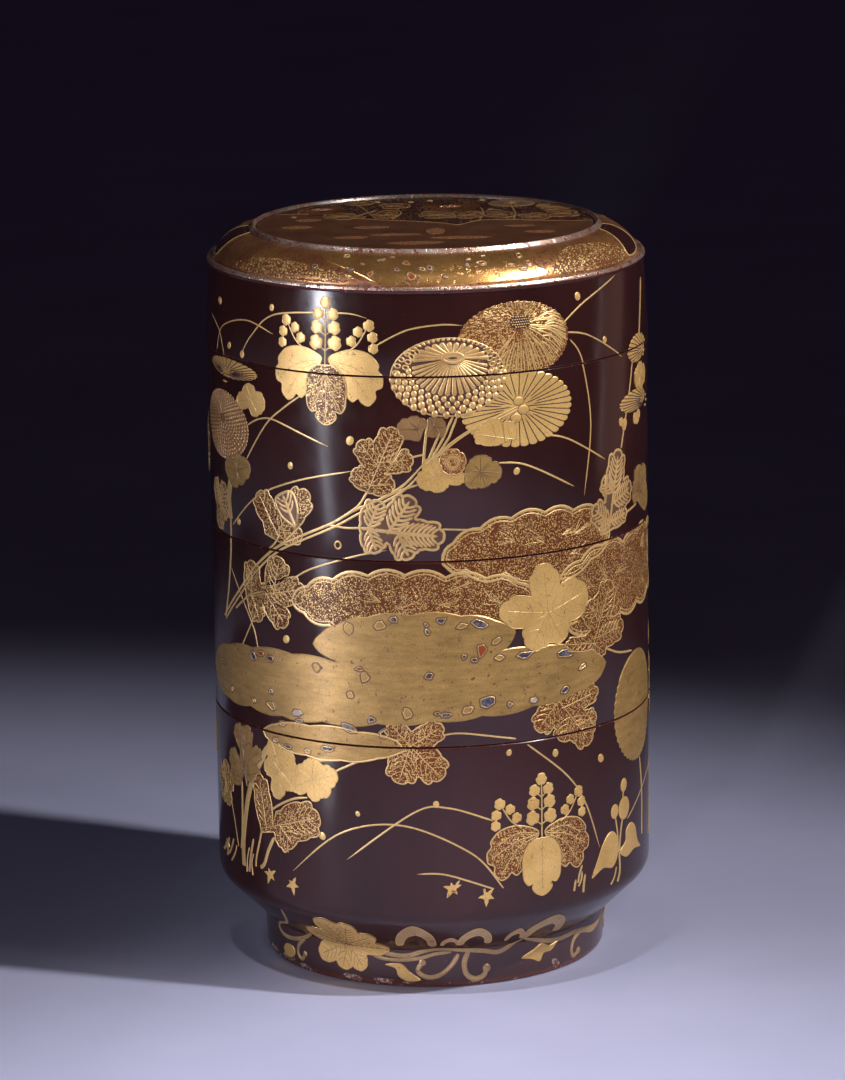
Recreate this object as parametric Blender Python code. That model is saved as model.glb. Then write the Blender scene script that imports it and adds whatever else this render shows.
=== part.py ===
"""Round stacking food container in lacquered wood: a lid, two plain tiers and a lower tier on a foot ring.

Every piece is turned about the Z axis. The origin is at the centre of the foot's underside.
Heights and radii are in metres.
"""

import math

import bmesh
import bpy

# Driving dimensions of the stack.
BODY_RADIUS = 0.0900
SEAM_LOW = 0.1064
SEAM_MIDDLE = 0.1823
SEAM_HIGH = 0.2566
SEAM_GAP = 0.0003
WALL = 0.0058
FLOOR = 0.0050
EDGE_ROUND = 0.0005
SEGMENTS = 56

# The lip that rises round each tier's mouth, in a groove under the piece above.
LIP_THICKNESS = 0.0025
LIP_HEIGHT = 0.0070
LIP_GAP = 0.0003
LIP_HEADROOM = 0.0010
NEST_GAP = 0.0005

# The sloping corner between a tier's floor and its wall.
FLOOR_EDGE_INSET = 0.0052
WALL_SPRING = 0.0090
COVE = 0.0040

# The foot ring and the chamfer that leads up from it to the wall.
FOOT_RADIUS = 0.0704
FOOT_TOP_RADIUS = 0.0712
FOOT_THICKNESS = 0.0048
FOOT_TOP = 0.0158
FOOT_RECESS = 0.0105
CHAMFER_START = (0.0730, 0.0176)
CHAMFER_CORNER = 0.0341
CHAMFER_SETBACK = 0.0040
BOWL_FLOOR_INSET = 0.0020
BOWL_CORNER_RISE = 0.0032

# The lid, whose wall narrows a little from its lower edge to the rim.
LID_SKIRT_RADIUS = 0.0904
LID_NECK_RADIUS = 0.0886
RIM_BOTTOM = 0.2892
RIM_HEIGHT = 0.0028
RIM_OVERHANG = 0.0006
RIM_INSET = 0.0008
SHOULDER_OUTER = (0.0860, 0.2914)
SHOULDER_INNER = (0.0717, 0.3021)
SHOULDER_FULLNESS = 1.7
BEAD_RADIUS = 0.0710
BEAD_WIDTH = 0.0020
TOP_PANEL = 0.3026
TOP_CREST = 0.3040
LID_THICKNESS = 0.0056
CEILING_RADIUS = 0.0687

INNER_RADIUS = BODY_RADIUS - WALL
LIP_RADIUS = INNER_RADIUS + LIP_THICKNESS
SKIRT_RADIUS = LIP_RADIUS + LIP_GAP
NEST_RADIUS = INNER_RADIUS - NEST_GAP
GROOVE_DEPTH = LIP_HEIGHT + LIP_HEADROOM


def lacquer(name, colour, roughness):
    """A plain Principled material in a piece's overall colour."""
    material = bpy.data.materials.new(name)
    material.use_nodes = True
    shader = material.node_tree.nodes["Principled BSDF"]
    shader.inputs["Base Color"].default_value = (*colour, 1.0)
    shader.inputs["Roughness"].default_value = roughness
    shader.inputs["Metallic"].default_value = 0.0
    material.diffuse_color = (*colour, 1.0)
    return material


def rounded_corner(before, corner, after, setback, steps):
    """Points of a curve that rounds a corner, leaving each side at the setback from it."""

    def towards(point):
        reach = setback / math.dist(corner, point)
        return tuple(c + (p - c) * reach for c, p in zip(corner, point))

    start, end = towards(before), towards(after)
    points = []
    for step in range(steps + 1):
        t = step / steps
        points.append(tuple(
            (1 - t) ** 2 * s + 2 * t * (1 - t) * c + t**2 * e
            for s, c, e in zip(start, corner, end)
        ))
    return points


def full_quarter(outer, inner, fullness, steps):
    """Points of a convex quarter curve that rises from its outer end to its inner end."""
    points = []
    for step in range(steps + 1):
        angle = math.radians(90 * step / steps)
        radius = inner[0] + (outer[0] - inner[0]) * math.cos(angle) ** (2 / fullness)
        height = outer[1] + (inner[1] - outer[1]) * math.sin(angle) ** (2 / fullness)
        points.append((radius, height))
    return points


def mouth_profile(seam):
    """The mouth of a tier, from its inner wall over the lip and the seat to its outer edge."""
    seat = seam - SEAM_GAP / 2
    top = seat + LIP_HEIGHT
    return [
        (INNER_RADIUS, top - EDGE_ROUND),
        (INNER_RADIUS + EDGE_ROUND, top),
        (LIP_RADIUS - EDGE_ROUND, top),
        (LIP_RADIUS, top - EDGE_ROUND),
        (LIP_RADIUS, seat),
        (BODY_RADIUS - EDGE_ROUND, seat),
        (BODY_RADIUS, seat - EDGE_ROUND),
    ]


def skirt_profile(seam, outer_radius):
    """The lower edge of a piece, from its outer side to the top of the space for the lip."""
    bottom = seam + SEAM_GAP / 2
    return [
        (outer_radius, bottom + EDGE_ROUND),
        (outer_radius - EDGE_ROUND, bottom),
        (SKIRT_RADIUS, bottom),
        (SKIRT_RADIUS, bottom + GROOVE_DEPTH),
    ]


def plain_tier_profile(seam_below, seam_above):
    """A tier's section: its floor and inside, its mouth, its outer side and its underside.

    The underside fits inside the mouth below, with a groove round it for that mouth's lip.
    """
    bottom = seam_below + SEAM_GAP / 2
    floor_top = bottom + FLOOR
    middle = (0.0, floor_top)
    floor_edge = (INNER_RADIUS - FLOOR_EDGE_INSET, floor_top)
    spring = (INNER_RADIUS, floor_top + WALL_SPRING)
    return [
        middle,
        *rounded_corner(middle, floor_edge, spring, COVE, 2),
        *rounded_corner(floor_edge, spring, (INNER_RADIUS, seam_above), COVE, 1),
        *mouth_profile(seam_above),
        *skirt_profile(seam_below, BODY_RADIUS),
        (NEST_RADIUS, bottom + GROOVE_DEPTH),
        (NEST_RADIUS, bottom + EDGE_ROUND),
        (NEST_RADIUS - EDGE_ROUND, bottom),
        (0.0, bottom),
    ]


def lower_tier_profile(seam_above):
    """The lower tier's section, whose foot ring leaves a recess under the floor."""
    wall_corner = (BODY_RADIUS, CHAMFER_CORNER)
    chamfer = rounded_corner(
        (BODY_RADIUS, seam_above), wall_corner, CHAMFER_START, CHAMFER_SETBACK, 4
    )
    foot_inner = FOOT_RADIUS - FOOT_THICKNESS
    foot = [
        CHAMFER_START,
        (FOOT_TOP_RADIUS, FOOT_TOP),
        (FOOT_RADIUS, EDGE_ROUND),
        (FOOT_RADIUS - EDGE_ROUND, 0.0),
        (foot_inner + EDGE_ROUND, 0.0),
        (foot_inner, EDGE_ROUND),
        (foot_inner, FOOT_RECESS),
        (0.0, FOOT_RECESS),
    ]
    floor_top = FOOT_RECESS + FLOOR
    middle = (0.0, floor_top)
    floor_edge = (FOOT_RADIUS - BOWL_FLOOR_INSET, floor_top)
    bowl_corner = (INNER_RADIUS, CHAMFER_CORNER + BOWL_CORNER_RISE)
    bowl = [
        *rounded_corner(middle, floor_edge, bowl_corner, COVE, 2),
        *rounded_corner(floor_edge, bowl_corner, (INNER_RADIUS, seam_above), COVE, 3),
    ]
    return [middle, *bowl, *mouth_profile(seam_above), *chamfer, *foot]


def lid_profile():
    """The lid's section: over the top, down its outer side and up inside it."""
    bead_middle = BEAD_RADIUS - BEAD_WIDTH / 2
    bead = [
        (BEAD_RADIUS - BEAD_WIDTH, TOP_PANEL),
        (bead_middle - BEAD_WIDTH / 4, TOP_CREST),
        (bead_middle + BEAD_WIDTH / 4, TOP_CREST),
        (BEAD_RADIUS, TOP_CREST - BEAD_WIDTH / 3),
    ]
    shoulder = full_quarter(SHOULDER_OUTER, SHOULDER_INNER, SHOULDER_FULLNESS, 6)
    rim_radius = LID_NECK_RADIUS + RIM_OVERHANG
    rim = [
        (LID_NECK_RADIUS - RIM_INSET, RIM_BOTTOM + RIM_HEIGHT),
        (rim_radius, RIM_BOTTOM + RIM_HEIGHT * 2 / 3),
        (rim_radius, RIM_BOTTOM + RIM_HEIGHT / 3),
        (LID_NECK_RADIUS, RIM_BOTTOM),
    ]
    ceiling = TOP_PANEL - LID_THICKNESS
    under_shoulder = full_quarter(
        (INNER_RADIUS, SHOULDER_OUTER[1] - LID_THICKNESS), (CEILING_RADIUS, ceiling), 2.0, 3
    )
    return [
        (0.0, TOP_PANEL),
        *bead,
        *shoulder[::-1],
        *rim,
        *skirt_profile(SEAM_HIGH, LID_SKIRT_RADIUS),
        (INNER_RADIUS, SEAM_HIGH + SEAM_GAP / 2 + GROOVE_DEPTH),
        *under_shoulder,
        (0.0, ceiling),
    ]


def turned(name, profile, material):
    """A piece turned about the Z axis from (radius, height) points that start and end on it."""
    piece_mesh = bpy.data.meshes.new(name)
    bm = bmesh.new()
    section = [bm.verts.new((radius, 0.0, height)) for radius, height in profile]
    edges = [bm.edges.new(pair) for pair in zip(section, section[1:])]
    bmesh.ops.spin(
        bm,
        geom=section + edges,
        cent=(0.0, 0.0, 0.0),
        axis=(0.0, 0.0, 1.0),
        angle=math.tau,
        steps=SEGMENTS,
        use_merge=True,
    )
    bmesh.ops.remove_doubles(bm, verts=bm.verts, dist=1e-6)
    bmesh.ops.recalc_face_normals(bm, faces=bm.faces)
    bm.to_mesh(piece_mesh)
    bm.free()
    piece_mesh.shade_smooth()
    piece_mesh.set_sharp_from_angle(angle=math.radians(35))
    piece_mesh.materials.append(material)
    piece = bpy.data.objects.new(name, piece_mesh)
    bpy.context.scene.collection.objects.link(piece)
    return piece


def main():
    for obj in list(bpy.data.objects):
        bpy.data.objects.remove(obj)
    dark = lacquer("dark_lacquer", (0.034, 0.012, 0.013), 0.2)
    warm = lacquer("warm_lacquer", (0.042, 0.014, 0.015), 0.22)
    gilded = lacquer("gilded_lacquer", (0.18, 0.09, 0.04), 0.25)
    turned("lower_tier", lower_tier_profile(SEAM_LOW), warm)
    turned("middle_tier", plain_tier_profile(SEAM_LOW, SEAM_MIDDLE), dark.copy())
    turned("upper_tier", plain_tier_profile(SEAM_MIDDLE, SEAM_HIGH), dark)
    turned("lid", lid_profile(), gilded)


main()
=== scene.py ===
"""Looks of a round stacking food container: dark lacquer with pictures in sprinkled gold.

Autumn plants stand among bands of mist on the wall, a scroll runs round the foot and the lid is gilded.
Drawings are flat, in millimetres: x runs round the wall from the middle of the front, and the second
number is the height above the table, the way up the foot or shoulder, or the depth on the lid's top.
"""

import math
import random

import bmesh
import bpy
from mathutils import Euler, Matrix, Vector, geometry


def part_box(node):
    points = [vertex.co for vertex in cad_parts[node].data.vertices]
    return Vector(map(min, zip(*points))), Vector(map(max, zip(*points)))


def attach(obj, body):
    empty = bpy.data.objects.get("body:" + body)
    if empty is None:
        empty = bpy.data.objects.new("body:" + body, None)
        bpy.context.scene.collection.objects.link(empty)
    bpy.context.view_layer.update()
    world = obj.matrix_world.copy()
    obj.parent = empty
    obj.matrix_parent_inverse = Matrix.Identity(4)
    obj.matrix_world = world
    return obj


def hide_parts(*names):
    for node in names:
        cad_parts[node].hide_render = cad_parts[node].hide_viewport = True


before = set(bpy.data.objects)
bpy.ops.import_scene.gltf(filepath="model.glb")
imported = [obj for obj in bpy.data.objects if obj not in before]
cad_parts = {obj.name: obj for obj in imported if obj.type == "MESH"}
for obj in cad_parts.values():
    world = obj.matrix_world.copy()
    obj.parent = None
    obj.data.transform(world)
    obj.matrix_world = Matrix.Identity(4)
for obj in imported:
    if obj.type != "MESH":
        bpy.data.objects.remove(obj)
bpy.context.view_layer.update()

bl_info = {
    "name": "Lacquer Food Container",
    "version": (1, 0, 0),
    "blender": (4, 5, 0),
    "location": "3D View > Sidebar > Lacquer Box",
    "description": "Dresses a stacking lacquer food container with its finishes and gold pictures",
    "category": "Add Mesh",
}

# The frame's measures, in metres.
LID_LOW, LID_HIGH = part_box("lid")
UPPER_LOW, UPPER_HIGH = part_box("upper_tier")
MIDDLE_LOW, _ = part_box("middle_tier")
_, LOWER_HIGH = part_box("lower_tier")
BODY_RADIUS = (UPPER_HIGH.x - UPPER_LOW.x) / 2

# One millimetre of a drawing. The wall's radius is 90 of them.
WALL_RADIUS = 90.0
MM = BODY_RADIUS / WALL_RADIUS

# Heights in drawing millimetres.
SEAM_GAP = 0.3
SEAM_BEVEL = 0.5
SEAM_LOW = MIDDLE_LOW.z / MM - SEAM_GAP / 2
SEAM_MIDDLE = UPPER_LOW.z / MM - SEAM_GAP / 2
SEAM_HIGH = LID_LOW.z / MM - SEAM_GAP / 2
CREST = LID_HIGH.z / MM

TURN_STEPS = 224
SKIRT_RADIUS = LID_HIGH.x / MM
NECK_RADIUS = SKIRT_RADIUS - 1.8
INNER_RADIUS = WALL_RADIUS - 5.8
LIP_RADIUS = INNER_RADIUS + 2.5
LIP_HEIGHT = LOWER_HIGH.z / MM - SEAM_LOW + SEAM_GAP / 2
GROOVE_RADIUS = LIP_RADIUS + 0.3
GROOVE_DEPTH = LIP_HEIGHT + 1.0
FLOOR = 5.0
LID_THICKNESS = 5.6
RIM_BOTTOM = CREST - 14.8
RIM_TOP = CREST - 12.0
TOP_PANEL = CREST - 1.4
BEAD_RADIUS = 71.0
FOOT_RADIUS = 70.4
FOOT_INNER = FOOT_RADIUS - 4.8
FOOT_RECESS = 10.5
CHAMFER_START = (73.0, 17.6)
CHAMFER_CORNER = 34.1

# The stretch of wall that each piece gives a drawing, clear of its rounded edges.
SEAM_MARGIN = SEAM_GAP / 2 + SEAM_BEVEL * 0.6
WALL_BANDS = {
    "lower_tier": (CHAMFER_CORNER, SEAM_LOW - SEAM_MARGIN),
    "middle_tier": (SEAM_LOW + SEAM_MARGIN, SEAM_MIDDLE - SEAM_MARGIN),
    "upper_tier": (SEAM_MIDDLE + SEAM_MARGIN, SEAM_HIGH - SEAM_MARGIN),
    "lid": (SEAM_HIGH + SEAM_MARGIN, RIM_BOTTOM),
}

# How deep the rim of a figure goes into the lacquer, so that no gap shows under it.
SINK = 0.04


# Lines and outlines in drawing millimetres.


def through(points, spacing=1.4, closed=False):
    """A smooth line through the points, with a station about every spacing."""
    knots = [Vector(point) for point in points]
    count = len(knots)
    line = []
    for span in range(count if closed else count - 1):
        around = (span - 1, span, span + 1, span + 2)
        if closed:
            a, b, c, d = (knots[index % count] for index in around)
        else:
            a, b, c, d = (knots[min(max(index, 0), count - 1)] for index in around)
        steps = max(2, math.ceil((c - b).length / spacing))
        for step in range(steps):
            t = step / steps
            bend = (2 * a - 5 * b + 4 * c - d) * t * t
            swing = (3 * b - a - 3 * c + d) * t**3
            line.append((2 * b + (c - a) * t + bend + swing) / 2)
    if not closed:
        line.append(knots[-1])
    return line


def heading(degrees):
    return Vector((math.cos(math.radians(degrees)), math.sin(math.radians(degrees))))


def oval(centre, width, height, steps=14, turn=0.0):
    """An oval outline."""
    across, up = heading(turn) * width / 2, heading(turn + 90) * height / 2
    angles = [math.tau * step / steps for step in range(steps)]
    return [Vector(centre) + across * math.cos(a) + up * math.sin(a) for a in angles]


def petal(root, tip, width, root_share, steps=3):
    """A petal's outline, narrow at its root and round at its tip."""
    root, tip = Vector(root), Vector(tip)
    along = tip - root
    side = Vector((-along.y, along.x)).normalized()
    round_from = max(0.3, 1 - width / 2 / along.length)
    sides = []
    for step in range(steps + 1):
        share = round_from * step / steps
        sides.append((share, root_share + (1 - root_share) * step / steps))
    for step in (1, 2, 3):
        angle = math.radians(30 * step)
        sides.append((round_from + (1 - round_from) * math.sin(angle), math.cos(angle)))
    right = [root + along * t - side * width / 2 * half for t, half in sides[:-1]]
    left = [root + along * t + side * width / 2 * half for t, half in sides[-2::-1]]
    return [*right, tip, *left]


# How full a lobe's sides are, with 1 for an ellipse, how much wider its tip is than its root, how far
# out from its middle it hides what lies under it, and how wide a leaf's neck is.
LOBE_ROUNDNESS = 0.72
LOBE_SWELL = 0.2
LOBE_COVER = 0.97
LEAF_NECK = 0.9


def lobe_points(lobe, teeth, bite):
    """The scalloped end of a lobe, anticlockwise, from its root, tip and width."""
    root, tip, width = lobe
    along = (tip - root) / 2
    across = Vector((-along.y, along.x)).normalized() * width / 2
    steps = round(teeth * 10)
    spots = []
    for step in range(-steps, steps + 1):
        turn = math.radians(128) * step / steps
        trim = 1 - bite * (1 - abs(math.cos(teeth * turn)))
        ahead = math.copysign(abs(math.cos(turn)) ** LOBE_ROUNDNESS, math.cos(turn))
        aside = math.copysign(abs(math.sin(turn)) ** LOBE_ROUNDNESS, math.sin(turn))
        spots.append(root + along + (along * ahead + across * aside * (1 + LOBE_SWELL * ahead)) * trim)
    return spots


def in_lobe(spot, lobe):
    root, tip, width = lobe
    along = (tip - root) / 2
    off = spot - root - along
    ahead = off.dot(along) / along.length_squared
    aside = abs(off.cross(along)) / along.length / (width / 2) / max(1 + LOBE_SWELL * ahead, 0.1)
    power = 2 / LOBE_ROUNDNESS
    return abs(ahead) ** power + aside**power < LOBE_COVER**power


def lobed(base, lobes, teeth, bite):
    """A leaf's outline: the scalloped ends of its lobes, with a narrow neck at its base.

    Bite is the depth of the notches between its teeth, as a share of the lobe.
    """
    middle = sum((tip for _, tip, _ in lobes), Vector((0.0, 0.0))) / len(lobes)
    back = base - middle

    def turn(lobe):
        out = lobe[1] - middle
        return math.atan2(back.cross(out), back.dot(out)) % math.tau

    outline = []
    for lobe in sorted(lobes, key=turn):
        others = [other for other in lobes if other is not lobe]
        outline += [p for p in lobe_points(lobe, teeth, bite) if not any(in_lobe(p, o) for o in others)]
    side = Vector((-back.y, back.x)).normalized() * LEAF_NECK / 2
    if not any(in_lobe(base, lobe) for lobe in lobes):
        outline = [base + side, *outline, base - side]
    return outline


def star(centre, tips, notch):
    """A small leaf's outline with sharp points."""
    centre = Vector(centre)
    outline = []
    for index, tip in enumerate(tips):
        point, after = Vector(tip) - centre, Vector(tips[(index + 1) % len(tips)]) - centre
        side = Vector((-point.y, point.x)) * 0.17
        outline += [centre + point * 0.6 - side, centre + point, centre + point * 0.6 + side]
        outline.append(centre + (point + after) * notch / 2)
    return outline


def is_inside(spot, outline):
    inside = False
    for a, b in zip(outline, outline[1:] + outline[:1]):
        if (a.y > spot.y) != (b.y > spot.y):
            if spot.x < a.x + (b.x - a.x) * (spot.y - a.y) / (b.y - a.y):
                inside = not inside
    return inside


def inset(outline, margin):
    """The outline drawn in by the margin, for one that runs anticlockwise."""
    inner = []
    count = len(outline)
    for index, spot in enumerate(outline):
        along = outline[(index + 1) % count] - outline[index - 1]
        inner.append(spot + Vector((-along.y, along.x)).normalized() * margin)
    return inner


def anticlockwise(outline):
    turns = zip(outline, outline[1:] + outline[:1])
    return outline if sum(a.x * b.y - b.x * a.y for a, b in turns) > 0 else outline[::-1]


def extent(outline):
    """The lower left and upper right corners of the box round an outline."""
    xs, ys = [spot.x for spot in outline], [spot.y for spot in outline]
    return Vector((min(xs), min(ys))), Vector((max(xs), max(ys)))


class Drawing:
    """Flat figures: the points' places and lifts above the lacquer, and each face's finish."""

    def __init__(self):
        self.points = []
        self.faces = []
        self.finishes = []

    def add(self, points, faces, finish):
        first = len(self.points)
        self.points += points
        self.faces += [[first + corner for corner in face] for face in faces]
        self.finishes += [finish] * len(faces)

    def fill(self, outline, finish, lift=0.1, edge=0.22, grid=2.8):
        """A figure of one height with a soft edge."""
        outline = anticlockwise(outline)
        count = len(outline)
        inner = inset(outline, edge)
        rim = [(spot.x, spot.y, -SINK) for spot in outline]
        shelf = [(spot.x, spot.y, lift) for spot in inner]
        ring = [(i, (i + 1) % count, count + (i + 1) % count, count + i) for i in range(count)]
        self.add(rim + shelf, ring, finish)
        middle = list(inner)
        low, high = extent(inner)
        safe = inset(inner, grid * 0.4)
        for row in range(1, int((high.y - low.y) / grid) + 1):
            for column in range(1, int((high.x - low.x) / grid) + 1):
                spot = low + Vector((column + row % 2 / 2, row)) * grid
                if is_inside(spot, safe):
                    middle.append(spot)
        flat = geometry.delaunay_2d_cdt(middle, [], [list(range(count))], 1, 1e-4)
        self.add([(spot.x, spot.y, lift) for spot in flat[0]], flat[2], finish)

    def dome(self, outline, finish, rise=0.5, base=0.0, shares=(1.0, 0.85, 0.5)):
        """A figure that swells towards its middle."""
        outline = anticlockwise(outline)
        count = len(outline)
        centre = sum(outline, Vector((0.0, 0.0))) / count
        points = []
        for share in shares:
            lift = base + rise * math.sqrt(1 - share**2) if share < 1 else base - SINK
            ring = [centre + (spot - centre) * share for spot in outline]
            points += [(spot.x, spot.y, lift) for spot in ring]
        points.append((centre.x, centre.y, base + rise))
        faces = []
        for level in range(len(shares) - 1):
            for i in range(count):
                a, b = level * count + i, level * count + (i + 1) % count
                faces.append((a, b, b + count, a + count))
        last = (len(shares) - 1) * count
        faces += [(last + i, last + (i + 1) % count, len(points) - 1) for i in range(count)]
        self.add(points, faces, finish)

    def stroke(self, line, width, finish, rise=0.2, base=0.0, ends=(0.5, 0.3)):
        """A raised line, with its width at its two ends as shares of that in its middle."""
        last = len(line) - 1
        points = []
        for i, spot in enumerate(line):
            along = line[min(i + 1, last)] - line[max(i - 1, 0)]
            t = i / last
            share = min(1.0, ends[0] + 5 * t, ends[1] + 5 * (1 - t)) if last else 1.0
            side = Vector((-along.y, along.x)).normalized() * width / 2 * share
            left, right = spot + side, spot - side
            points.append((left.x, left.y, base - SINK))
            points.append((spot.x, spot.y, base + rise * share))
            points.append((right.x, right.y, base - SINK))
        faces = []
        for a in range(0, 3 * last, 3):
            faces += [(a, a + 1, a + 4, a + 3), (a + 1, a + 2, a + 5, a + 4)]
        self.add(points, faces, finish)

    def edging(self, outline, width, finish, rise=0.2, base=0.0):
        """A raised line all round an outline."""
        line = [*outline, *outline[:2]]
        self.stroke(line, width, finish, rise, base, ends=(1.0, 1.0))

    def plate(self, outline, ground, line, width, lift):
        """A figure of one height with a raised line inside its edge."""
        outline = anticlockwise(outline)
        self.fill(outline, ground, lift=lift)
        self.edging(inset(outline, width / 3), width, line, 0.16, lift)


# Places on the container for a drawing's points.


def round_axis(radius, angle, height):
    """The place at a radius and a height, with angle 0 in front and positive angles to the right."""
    return Vector((radius * math.sin(angle), -radius * math.cos(angle), height))


def wall_radius(height):
    """The wall is upright up to the lid, whose side leans in a little."""
    lean = max(0.0, height - SEAM_HIGH) / (RIM_BOTTOM - SEAM_HIGH)
    if lean == 0.0:
        return WALL_RADIUS
    return SKIRT_RADIUS + (NECK_RADIUS - SKIRT_RADIUS) * lean


def on_wall(point):
    return round_axis(wall_radius(point[1]) + point[2], point[0] / WALL_RADIUS, point[1]) * MM


def on_top(point):
    return Vector((point[0], point[1], TOP_PANEL + point[2])) * MM


class Section:
    """A turned surface. A drawing's second number is the way up it, and its first runs round it."""

    def __init__(self, points, around):
        self.around = around
        self.points = [Vector(point) for point in points]
        self.ways = [0.0]
        for a, b in zip(self.points, self.points[1:]):
            self.ways.append(self.ways[-1] + (b - a).length)

    def at(self, way):
        """The place and the outward direction, as radius and height."""
        index = 0
        while index < len(self.ways) - 2 and self.ways[index + 1] < way:
            index += 1
        a, b = self.points[index], self.points[index + 1]
        step = (b - a) / (self.ways[index + 1] - self.ways[index])
        return a + step * (way - self.ways[index]), Vector((step.y, -step.x))

    def __call__(self, point):
        spot, _ = self.at(point[1])
        turn = (self.at(point[1] - 0.5)[1] + self.at(point[1] + 0.5)[1]).normalized()
        spot = spot + turn * point[2]
        return round_axis(spot.x, point[0] / self.around, spot.y) * MM

    def place(self, spot):
        """The drawing's place for an azimuth in degrees and a length along the section."""
        degrees, way = spot
        return Vector((math.radians(degrees) * self.around, way))

    def line(self, spots):
        return [self.place(spot) for spot in spots]


def rounded_corner(before, corner, after, setback, steps):
    """Points that round a corner, leaving each side at the setback from it."""
    before, corner, after = Vector(before), Vector(corner), Vector(after)
    start = corner + (before - corner).normalized() * setback
    end = corner + (after - corner).normalized() * setback
    shares = [step / steps for step in range(steps + 1)]
    return [start * (1 - t) ** 2 + corner * 2 * t * (1 - t) + end * t**2 for t in shares]


def full_quarter(outer, inner, fullness, steps):
    """Points of a convex quarter curve from its outer end up to its inner end."""
    points = []
    for step in range(steps + 1):
        angle = math.radians(90 * step / steps)
        radius = inner[0] + (outer[0] - inner[0]) * math.cos(angle) ** (2 / fullness)
        height = outer[1] + (inner[1] - outer[1]) * math.sin(angle) ** (2 / fullness)
        points.append((radius, height))
    return points


SHOULDER_OUTER = (86.0, RIM_TOP - 0.6)
SHOULDER_INNER = (71.7, CREST - 1.9)
SHOULDER = full_quarter(SHOULDER_OUTER, SHOULDER_INNER, 1.7, 16)
CHAMFER = rounded_corner(
    CHAMFER_START, (WALL_RADIUS, CHAMFER_CORNER), (WALL_RADIUS, SEAM_LOW), 4.0, 6
)
FOOT = [(FOOT_RADIUS, 0.0), (71.2, 15.8), CHAMFER_START]
ON_FOOT = Section([*FOOT, *CHAMFER, (WALL_RADIUS, 50.0)], 80.0)
ON_SHOULDER = Section([(NECK_RADIUS - 0.8, RIM_TOP), *SHOULDER], 80.0)


def press(drawing, label, place, bands):
    """Lays a drawing on the lacquer, as one object for each piece of the container in its way."""
    whole = bpy.data.meshes.new(label)
    whole.from_pydata(drawing.points, [], drawing.faces)
    kinds = sorted(set(drawing.finishes))
    whole.polygons.foreach_set("material_index", [kinds.index(kind) for kind in drawing.finishes])
    laid = 0
    for piece, (low, high) in bands.items():
        bm = bmesh.new()
        bm.from_mesh(whole)
        for height, away in ((low, -1.0), (high, 1.0)):
            everything = [*bm.verts, *bm.edges, *bm.faces]
            cut = {"plane_co": (0.0, height, 0.0), "plane_no": (0.0, away, 0.0), "clear_outer": True}
            bmesh.ops.bisect_plane(bm, geom=everything, **cut)
        if bm.faces:
            for vert in bm.verts:
                vert.co = place(vert.co)
            lay_gold(bm, f"{piece}_{label}", kinds)
            laid += 1
        bm.free()
    bpy.data.meshes.remove(whole)
    if not laid:
        raise RuntimeError(f"{label} reaches no piece of the container")


def lay_gold(bm, name, kinds):
    """Makes an object of what bm holds, with only the finishes that its faces use."""
    mesh = bpy.data.meshes.new(name)
    used = sorted({face.material_index for face in bm.faces})
    for face in bm.faces:
        face.material_index = used.index(face.material_index)
        face.smooth = True
    bm.to_mesh(mesh)
    for index in used:
        mesh.materials.append(finish(kinds[index]))
    piece = bpy.data.objects.new(name, mesh)
    bpy.context.scene.collection.objects.link(piece)
    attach(piece, "root")


# Shader building.


class Graph:
    """Adds nodes to one shader tree. What goes into a node is a plain value or another's output."""

    def __init__(self, tree):
        self.tree = tree

    def feed(self, socket, value):
        if isinstance(value, bpy.types.NodeSocket):
            self.tree.links.new(value, socket)
        else:
            socket.default_value = value

    def node(self, kind, inputs=None, **settings):
        made = self.tree.nodes.new(kind)
        for key, value in settings.items():
            setattr(made, key, value)
        for key, value in (inputs or {}).items():
            self.feed(made.inputs[key], value)
        return made

    def maths(self, operation, first, second):
        return self.node("ShaderNodeMath", {0: first, 1: second}, operation=operation).outputs[0]

    def plus(self, first, second):
        return self.maths("ADD", first, second)

    def minus(self, first, second):
        return self.maths("SUBTRACT", first, second)

    def times(self, first, second):
        return self.maths("MULTIPLY", first, second)

    def between(self, share, low, high):
        """The value that lies between two others by a share."""
        return self.plus(self.times(self.minus(high, low), share), low)

    def mix(self, share, low, high):
        """The colour that lies between two others by a share."""
        return self.node("ShaderNodeMix", {0: share, 6: low, 7: high}, data_type="RGBA").outputs[2]

    def lit(self, colour, value):
        """The colour with its brightness multiplied."""
        return self.node("ShaderNodeHueSaturation", {"Color": colour, "Value": value}).outputs[0]

    def ranged(self, value, low, high, to_low=0.0, to_high=1.0):
        """The value moved from one range to another, and held at its ends."""
        sockets = {"Value": value, "From Min": low, "From Max": high, "To Min": to_low, "To Max": to_high}
        return self.node("ShaderNodeMapRange", sockets).outputs["Result"]

    def place(self):
        """The place in the container's own coordinates, in metres."""
        return self.node("ShaderNodeTexCoord").outputs["Object"]

    def noise(self, scale, detail=3.0, roughness=0.55, stretch=(1.0, 1.0, 1.0)):
        """Noise with a scale in waves a metre."""
        place = self.node("ShaderNodeMapping", {"Vector": self.place(), "Scale": stretch}).outputs[0]
        sockets = {"Vector": place, "Scale": scale, "Detail": detail, "Roughness": roughness}
        return self.node("ShaderNodeTexNoise", sockets).outputs[0]

    def cells(self, scale):
        """Cells with a scale in cells a metre: the distance to a cell's middle, and its own three values."""
        cells = self.node("ShaderNodeTexVoronoi", {"Vector": self.place(), "Scale": scale}).outputs
        return cells["Distance"], self.node("ShaderNodeSeparateColor", {0: cells["Color"]}).outputs

    def worn(self, scale, roughness, limit, softness):
        """The share of wear: 1 where a coarse noise is below the limit."""
        wear = self.noise(scale, 6.0, roughness)
        return self.ranged(wear, self.minus(limit, softness), limit, 1.0, 0.0)


# The range that holds most of a noise's values.
NOISE_SPAN = (0.3, 0.7)
WARM_BROWN = (0.16, 0.045, 0.022)
COAT_ROUGHNESS = 0.12


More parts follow.
